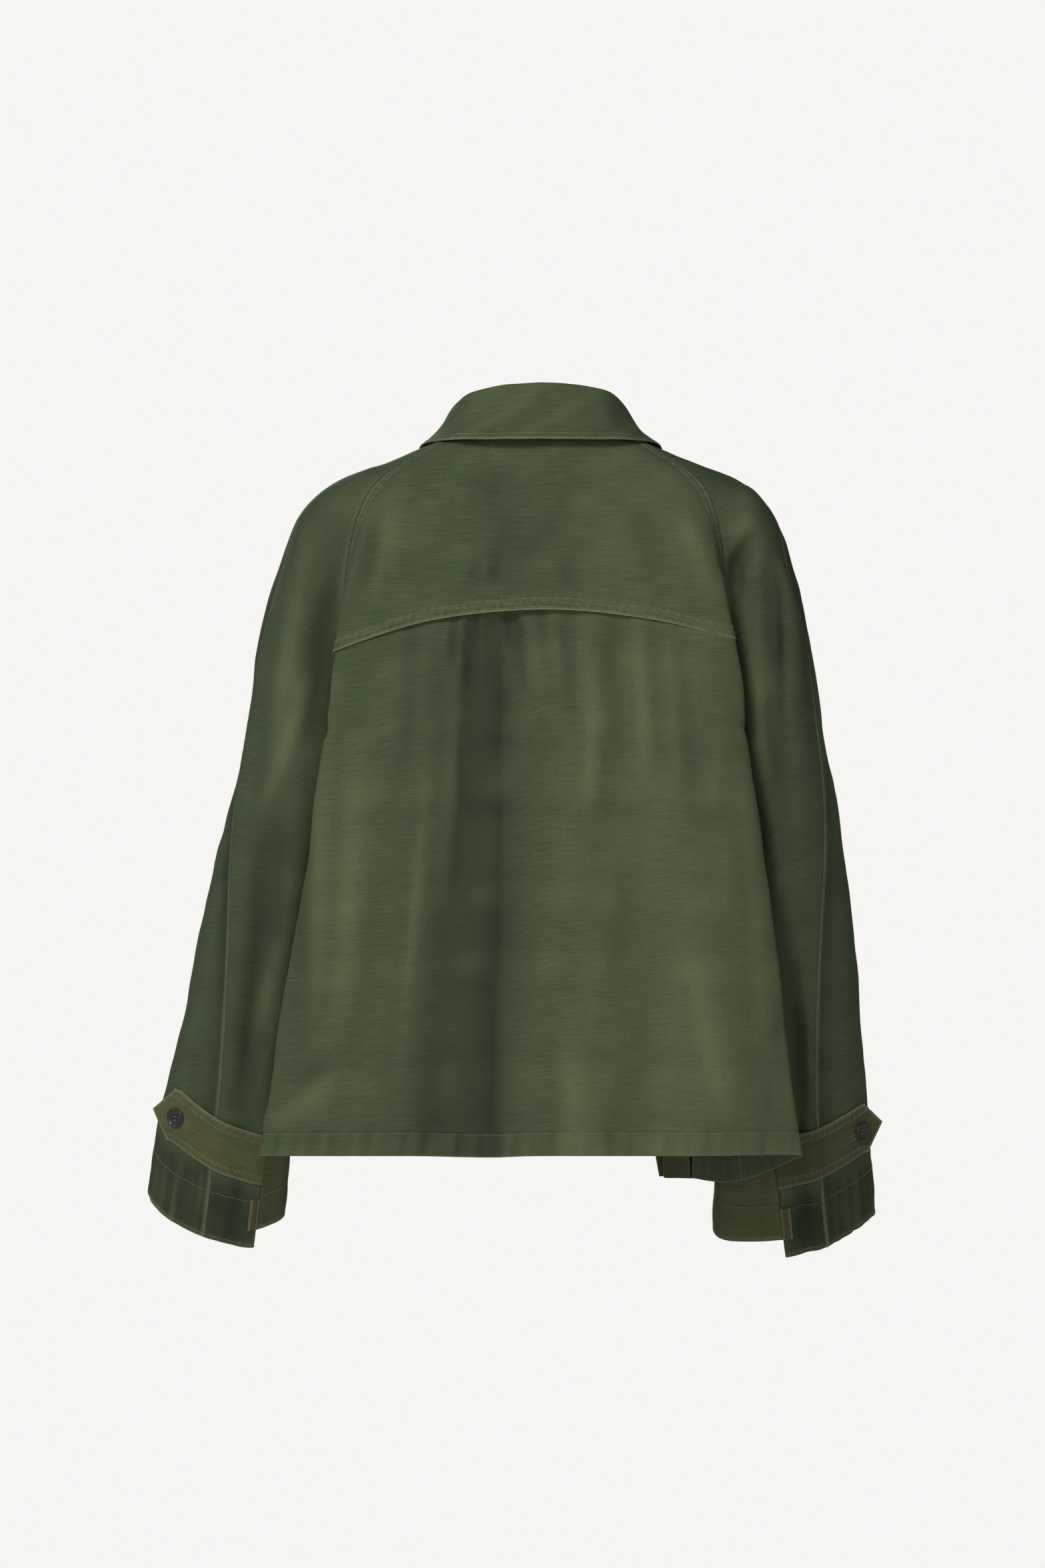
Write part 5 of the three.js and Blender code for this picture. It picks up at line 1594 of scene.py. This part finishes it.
@dataclass(frozen=True)
class CuffStrap(Sided):
    """The pointed strap over the back of a cuff, and the strip beside the cuff's vent."""

    top: float = 9.74
    bottom: float = 10.28
    length: float = 112.0
    tip: float = 15.0
    lift: float = 7.0
    from_tip: float = 21.0
    vent_width: float = 8.0
    vent_length: float = 30.0
    out: float = 2.5  # how far the strap stands off the sleeve's form
    strip_out: float = 1.8  # and the strip

    def path(self, at: Array, reach: Array) -> Array:
        """Points on the sleeve at a length round from its back seam, (N, 3)."""
        section = Form.arm(self.side, at)
        start = section.index["back_seam"]
        stop = start + (-1 if self.left else 1) * (section.spans - 1)
        return section.sample(section.at_length(start, stop, reach[:, None], share=False))[:, 0]

    def surface(self) -> Cloth:
        """The strap lies on the sleeve up to its button, and runs straight on past it."""
        (low, high), step = HANG[self.side].strap_rise, Sleeve(self.side).last_step
        straight = self.length - self.from_tip
        share, length = np.meshgrid(steps(0, 1, 1 / 36), steps(0, self.length, 1.15),
                                    indexing="ij")
        # Towards the tip, rows at both edges end sooner than the middle one: that is the point.
        point = self.tip * np.abs(2 * share - 1)
        run = length - point * smooth(straight - 16, self.length, length) ** 0.8
        reach = np.minimum(run, straight)
        level = self.top + (self.bottom - self.top) * share
        at = (level - (low + (high - low) * reach / straight) / step).ravel()
        p = self.path(at, reach.ravel()).reshape(*share.shape, 3)
        before = self.path(at, np.maximum(reach.ravel() - 6, 0)).reshape(p.shape)
        onward = unit(p - before)
        away = unit(np.array([self.side.value, 0.15, 0.0]))
        over = np.maximum(run - straight, 0)[..., None]
        p = p + onward * over + away * self.lift * over / self.from_tip
        if self.left:
            p, share = p[:, ::-1], share[:, ::-1]
        return Cloth(p, np.zeros(len(p)), share).raised(self.out)

    def dress(self, tailor: Tailor) -> None:
        """Builds the strap with two stitched rows round it, its buttonhole and the strip."""
        name = f"cuff_strap_{self.side.label}"
        end = Edge.FIRST if self.left else Edge.LAST
        cloth = self.surface()
        cloth.wear = 0.12 * cloth.mottled(31, 0.5, 19, 1.0)
        # Painted shade darkens the strap on the wearer's right.
        cloth.shade = np.full(cloth.share.shape, 0.0 if self.left else 0.6)
        rows = (2.0, 8.0)
        tailor.finish(name, cloth, TRIM, (
            Topstitch(Edge.TOP, rows, 9.6, 0.35, 0.6, 4.6, 0.3, True, rubbed=0.55),
            Topstitch(Edge.BOTTOM, rows, 9.6, 0.35, 0.6, 4.9, 1.3, True, rubbed=0.55),
            Topstitch(end, (2.2,), 4.0, 0.2, 0.2, 5.0, 2.3, True, rubbed=0.55),
        ), (0.12, 0.06, 0.0055), 1.9)
        done = tailor.cloths[name]
        mid = len(done.grid) // 2
        d = done.from_edge(end)[mid]
        low, high = np.searchsorted(np.sort(d), (self.from_tip + 4, self.from_tip + 22))
        columns = np.argsort(d)[low:high]
        for row in (mid - 1, mid + 2):
            tailor.stitching.run(done.grid[row, columns], done.normals[row, columns], STRAP_HOLE)
        self.strip(tailor)

    def strip(self, tailor: Tailor) -> None:
        """Builds the narrow strip that lies along the vent's edge."""
        sleeve = Sleeve(self.side)
        at = steps(sleeve.under_end - self.vent_length / sleeve.last_step, sleeve.under_end, 0.018)
        rows, reach = np.meshgrid(at, steps(0.3, 0.3 + self.vent_width, 0.5), indexing="ij")
        p = self.path(rows.ravel(), reach.ravel()).reshape(*reach.shape, 3)
        p = p[:, ::-1] if self.left else p
        strip = Cloth(p, at, np.zeros(reach.shape)).raised(self.strip_out)
        tailor.finish(f"vent_strip_{self.side.label}", strip, TRIM, (
            Topstitch(Edge.FIRST, (1.4,), 0.0, pucker=0.2, period=5, free=True),
            Topstitch(Edge.LAST, (1.4,), 0.0, pucker=0.2, period=5, seed=1.0, free=True),
        ), (0.0105, 0.0325, 0.00032), 1.4)


class CollarRow(NamedTuple):
    """The collar at a share of the way from its back to a front end, mm."""

    at: float
    stand: float
    edge: Point


COLLAR = (
    CollarRow(0, 28, (0, 88, 17)), CollarRow(0.16, 27, (42, 85, 17)),
    CollarRow(0.32, 26, (82, 68, 18)), CollarRow(0.48, 25, (107, 20, 17)),
    CollarRow(0.66, 25, (106, -42, 2)), CollarRow(0.84, 25, (86, -90, -32)),
    CollarRow(1, 24, (56, -112, -64)),
)


@dataclass(frozen=True)
class Collar:
    """The collar's stand and the fall that turns over it."""

    lean: float = 4.0
    roll: float = 2.6
    clear: float = 1.1
    thick: float = 2.0
    sewn_in: float = 1.6
    settle: float = 3.6  # worn soft, the fold has sunk below the stiff solid's, mm

    @staticmethod
    def neck(q: Array) -> Array:
        """The neck seam, from -1 at the left front edge to 1 at the right one."""
        section = Form.upper(np.zeros(1))
        t = section.at_length(0, section.spans, ((q + 1) / 2)[None], share=True)
        return section.sample(t)[0]

    def out(self, q: Array) -> Array:
        """The level way out from the neck."""
        a, b = self.neck(np.maximum(q - 0.02, -1)), self.neck(np.minimum(q + 0.02, 1))
        way = np.stack([b[:, 1] - a[:, 1], a[:, 0] - b[:, 0], np.zeros(len(q))], axis=1)
        return unit(way)

    def stand_top(self, q: Array) -> Array:
        """The fold between stand and fall: above the neck seam, and leaning in."""
        lift = np.zeros((len(q), 3))
        lift[:, 2] = column(COLLAR, "stand", np.abs(q))[:, 0] - self.settle
        return self.neck(q) + lift - self.out(q) * self.lean

    def dress(self, tailor: Tailor) -> None:
        """Builds the stand, then the fall as a curve from the fold to its edge."""
        q, up = np.linspace(-1, 1, 190), np.array([0, 0, 1.0])  # columns 2.4 mm apart
        out, top = self.out(q), self.stand_top(q)
        foot = self.neck(q) - up * self.sewn_in
        height = steps(1, 0, -1 / 12)[:, None, None]
        grid = foot * (1 - height) + top * height + out * (0.4 + 0.7 * height)
        blank = np.zeros(grid.shape[:2])
        tailor.finish("collar_stand", Cloth(grid, height[:, 0, 0], blank), SHELL, (
            Topstitch(Edge.BOTTOM, (3.0,), 0.0, pucker=0.2),), (0.45, 0.026, 0.0108), self.thick)

        edge = column(COLLAR, "edge", np.abs(q))
        edge[:, 0] *= np.where(q < 0, 1.0, -1.0)
        # From the fold up over the roll, level over its crown, down, and straight to the edge.
        start = top - out * 1.1 + up * self.clear
        roll = self.roll
        middle = (start + edge) / 2 + out * 2 + up
        stops = [start, start + up * roll * 0.35, start + out * 2.2 + up * roll * 0.85,
                 start + out * 7 + up * roll, start + out * 11.5 + up * roll * 0.35, middle, edge]
        section = Section(np.stack(stops, axis=1), {"fold": 0, "edge": 6})
        # Rows lie close together over the stitched edge, the last 0.3 of the way.
        shares = np.concatenate([np.linspace(0, 0.7, 36)[:-1], np.linspace(0.7, 1, 26)])
        points, share = section.even(("fold", "edge"), shares, (1,) * 6)
        fall = Cloth(points.transpose(1, 0, 2), shares, share.T)
        s, d = fall.across, fall.from_edge(Edge.BOTTOM)
        fall = fall.raised(0.9 * (ripple(s, 74, 0.8) - 0.5) * smooth(0, 25, fall.down)
                           * smooth(0, 10, d))
        fall.wear = 0.2 * ripple(s, 47, 0.8) + 0.3 * bump(fall.down - 9, 5) * ripple(s, 23, 2.0)
        tailor.finish("collar_fall", fall, SHELL, (
            Topstitch(Edge.BOTTOM, (5.4,), 6.6, 0.5, 0.7, 5.3, 0.3, True, rubbed=0.6),
            Topstitch(Edge.FIRST, (5.4,), 6.6, 0.35, 0.4, 5.3, 1.3, True, start=0.2),
            Topstitch(Edge.LAST, (5.4,), 6.6, 0.35, 0.4, 5.3, 2.3, True, start=0.2),
        ), (0.636, 0.091, 0.0357), self.thick)


BUTTON_FACE = 1.86  # height of the button's sunken face above its back, mm
# Radius and height, mm: the back, up round the rolled rim, and in over the face.
BUTTON_PROFILE = (
    (0, 0), (3, 0), (5.5, 0), (6.6, 0.05), (7.6, 0.4), (8.5, 0.95), (8.95, 1.5), (9, 1.95),
    (8.85, 2.4), (8.5, 2.78), (8.05, 2.97), (7.55, 2.98), (7.1, 2.8), (6.7, 2.45),
    (6.35, 2.12), (5.9, 1.95), (5.2, 1.88), (4.5, BUTTON_FACE), (3.9, BUTTON_FACE),
    *((0.35 * k, BUTTON_FACE) for k in range(10, -1, -1)),
)


@dataclass(frozen=True)
class Button:
    """A turned four-hole button with a rolled rim, mm."""

    hole: float = 1.05
    hole_depth: float = 1.3
    spread: float = 1.75
    segments: int = 56
    face_row: int = 15  # the profile's first point that a hole may sink

    def dress(self, tailor: Tailor, node: str) -> None:
        """Turns the button where its solid lies, and sews it on.

        Args:
            tailor: Who keeps the workroom and the stitches.
            node: The solid that it stands for.
        """
        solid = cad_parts[node].data
        corners = np.empty(len(solid.vertices) * 3)
        solid.vertices.foreach_get("co", corners)
        corners = corners.reshape(-1, 3) * 1000
        centre = (corners.min(axis=0) + corners.max(axis=0)) / 2
        seat = "cuff_strap_" + node.rsplit("_", 1)[1] if "cuff" in node else "front_left"
        _, towards = tailor.cloths[seat].near(centre)
        # The button's axis is the way in which its solid is thinnest.
        axis = np.linalg.svd(corners - corners.mean(axis=0), full_matrices=False)[2][2]
        axis = axis if axis @ towards > 0 else -axis
        up = unit(np.array([0, 0, 1.0]) - axis * axis[2])
        side = np.cross(up, axis)
        base = centre + axis * ((corners - centre) @ axis).min()

        shape = np.array(BUTTON_PROFILE)
        turn = np.arange(self.segments) * 2 * np.pi / self.segments
        r, z = shape[1:-1, :1], shape[1:-1, 1:]
        x, y = r * np.cos(turn), r * np.sin(turn)
        away = np.min([np.hypot(x - a * self.spread, y - b * self.spread)
                       for a in (-1, 1) for b in (-1, 1)], axis=0)
        rows = len(r)
        top = np.arange(1, rows + 1)[:, None] >= self.face_row
        # A hole's wall is a smooth step around its radius.
        z = z - top * self.hole_depth * (1 - smooth(self.hole * 0.75, self.hole * 1.25, away))
        ring = np.stack([x, y, z], axis=-1).reshape(-1, 3)
        local = np.concatenate([ring, [[0, 0, shape[0, 1]], [0, 0, shape[-1, 1]]]])
        points = base + local @ np.stack([side, up, axis])
        j = np.arange(self.segments)
        k = (j + 1) % self.segments
        under = np.stack([np.full(self.segments, len(ring)), k, j], -1)
        last = (rows - 1) * self.segments
        over = np.stack([np.full(self.segments, len(ring) + 1), last + j, last + k], -1)
        obj = tailor.room.piece(f"{node}_horn", points, [tube(rows, self.segments), under, over],
                                ButtonFinish(), "button")
        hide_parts(node)
        for sign in (-1, 1):
            t = np.linspace(-1.25, 1.25, 9)[:, None]  # past both holes' middles, at 1
            line = (base + axis * (BUTTON_FACE + 0.35) + up * sign * self.spread
                    + side * t * self.spread)
            tailor.stitching.run(line, np.tile(axis, (len(line), 1)), SHANK)


@dataclass(frozen=True)
class Details:
    """Small stitched details: the empty label box and the guessed front buttonholes."""

    box: tuple[Point, ...] = ((42, 0, 14), (42, 0, 4), (-11, 0, 4), (-11, 0, 14))
    hole_length: float = 20.0
    hole_half: float = 1.3
    from_edge: float = 17.0
    holes_at: tuple[float, ...] = (0.14, 0.32, 0.52, 0.68, 0.85)

    @staticmethod
    def drop(cloth: Cloth, points: Array, way: Array) -> tuple[Array, Array]:
        """Moves points along a direction until they meet the cloth."""
        ids = np.arange(cloth.share.size).reshape(cloth.share.shape)
        tree = BVHTree.FromPolygons([Vector(p) for p in cloth.grid.reshape(-1, 3)],
                                    quads(ids).tolist())
        hits = [tree.ray_cast(Vector(p), Vector(way)) for p in points]
        found = np.array([(hit[0][:], hit[1][:]) for hit in hits if hit[0] is not None])
        return found[:, 0], found[:, 1]

    def dress(self, tailor: Tailor) -> None:
        """Sews the box on the yoke and five buttonholes on the right front."""
        yoke = tailor.cloths["back_yoke"]
        corners = np.array(self.box, float) + [0, 300, 0]
        for a, b in zip(corners[:-1], corners[1:]):
            line = a + (b - a) * np.linspace(0, 1, 30)[:, None]
            points, normals = self.drop(yoke, line, np.array([0, -1.0, 0]))
            tailor.stitching.run(points, normals)
        front = tailor.cloths["front_right"]
        line, normals = front.line(Edge.LAST, self.from_edge)
        for share in self.holes_at:
            k = int(share * len(line))
            normal = normals[k]
            along = unit(np.cross(normal, [0, 0, 1.0]))
            angle = np.linspace(0, 2 * np.pi, 60)
            wide, tall = np.cos(angle) * self.hole_length / 2, np.sin(angle)
            tall = np.sign(tall) * np.abs(tall) ** 0.4 * self.hole_half
            oval = along * wide[:, None] + np.cross(along, normal) * tall[:, None]
            start = line[k] + oval + normal * 20
            points, found = self.drop(front, start, -normal)
            tailor.stitching.run(points, found, FRONT_HOLE)


class Lamp(NamedTuple):
    """A square soft box, m and W."""

    name: str
    at: Point
    towards: Point
    size: float
    watts: float

    def hang(self) -> None:
        """Adds the lamp to the scene."""
        data = bpy.data.lights.new(self.name, "AREA")
        data.energy, data.size = self.watts, self.size
        obj = bpy.data.objects.new(self.name, data)
        obj.location = self.at
        way = Vector(self.towards) - Vector(self.at)
        obj.rotation_euler = way.to_track_quat("-Z", "Y").to_euler()
        bpy.context.scene.collection.objects.link(obj)


LAMPS = (
    Lamp("key", (1.0, 2.8, 1.35), (0, 0, -0.25), 0.7, 46),
    Lamp("side", (2.6, 0.9, 0.9), (0, 0, -0.2), 0.8, 12),
    Lamp("fill", (-1.7, 2.5, 1.3), (-0.1, 0, -0.1), 0.7, 8),
    Lamp("far_side", (0.6, -3.0, 1.0), (0, 0, -0.3), 1.4, 34),
    Lamp("front", (0.3, 3.2, 0.2), (0, 0, -0.3), 0.9, 12),
)


@dataclass(frozen=True)
class Studio:
    """A pale floor, soft light and the camera that the photograph was taken from, in m."""

    camera: Point = (0.0162, 3.0, -0.2856)
    lens: float = 76.53  # mm, on a frame 36 mm tall
    paper: str = "#f6f5f3"
    floor: float = -0.80
    reach: float = 6.0
    air: float = 0.13  # strength of the light from all round

    def backdrop(self) -> None:
        """A level floor of pale paper, as a grid of flat squares."""
        side = np.linspace(-self.reach, self.reach, 9)
        x, y = np.meshgrid(side, side, indexing="ij")
        points = np.stack([x, y, np.full(x.shape, self.floor)], axis=-1).reshape(-1, 3)
        mesh = bpy.data.meshes.new("studio_floor")
        mesh.from_pydata(points, [], quads(np.arange(x.size).reshape(x.shape)).tolist())
        mat = bpy.data.materials.new("matt_paper_floor")
        tree = cleared(mat)
        seen = add_node(tree, "ShaderNodeLightPath", out="Is Camera Ray")
        # The paper's fibre: spots of about 17 mm, 1 / 60 m.
        fibre = noise(tree, add_node(tree, "ShaderNodeTexCoord", out="Object"), 60.0, 2.0)
        tint = blend(tree, fibre, srgb("#f5f5f3"), srgb(self.paper))
        matt = add_node(tree, "ShaderNodeBsdfPrincipled", {"Roughness": 0.9, "Base Color": tint})
        lit = add_node(tree, "ShaderNodeEmission", {"Strength": 1.0, "Color": tint})
        both = add_node(tree, "ShaderNodeMixShader", {0: seen, 1: matt, 2: lit})
        add_node(tree, "ShaderNodeOutputMaterial", {"Surface": both})
        mesh.materials.append(mat)
        obj = bpy.data.objects.new("studio_floor", mesh)
        bpy.context.scene.collection.objects.link(obj)

    def build(self) -> None:
        """Sets the floor, the lights, the air and the camera."""
        self.backdrop()
        for lamp in LAMPS:
            lamp.hang()
        scene = bpy.context.scene
        scene.view_settings.view_transform = "Standard"
        world = bpy.data.worlds.new("studio_air")
        tree = cleared(world)
        seen = add_node(tree, "ShaderNodeLightPath", out="Is Camera Ray")
        soft, far = (add_node(tree, "ShaderNodeBackground", {
            "Color": srgb(self.paper), "Strength": strength}) for strength in (self.air, 1.0))
        both = add_node(tree, "ShaderNodeMixShader", {0: seen, 1: soft, 2: far})
        add_node(tree, "ShaderNodeOutputWorld", {"Surface": both})
        scene.world = world
        data = bpy.data.cameras.new("photo_camera")
        data.sensor_fit, data.sensor_height, data.lens = "VERTICAL", 36.0, self.lens
        camera = bpy.data.objects.new("photo_camera", data)
        camera.location = self.camera
        camera.rotation_euler = (np.pi / 2, 0, np.pi)
        scene.collection.objects.link(camera)
        scene.camera = camera


def main() -> None:
    """Builds the jacket's pieces in order, then the studio."""
    logging.basicConfig(level=logging.INFO, format="%(name)s %(message)s")
    tailor = Tailor(Workroom(), Stitching(), {})
    BackPanel().dress(tailor)
    BackYoke().dress(tailor)
    Collar().dress(tailor)
    for side in Side:
        FrontPanel(side).dress(tailor)
        Sleeve(side).dress(tailor)
        CuffStrap(side).dress(tailor)
    Details().dress(tailor)
    buttons = [f"cuff_button_{side.label}" for side in Side]
    buttons += [f"front_button_{number}" for number in range(1, 6)]
    for node in buttons:
        Button().dress(tailor, node)
    tailor.stitching.make(tailor.room, "topstitching")
    Studio().build()


if __name__ == "__main__":
    main()
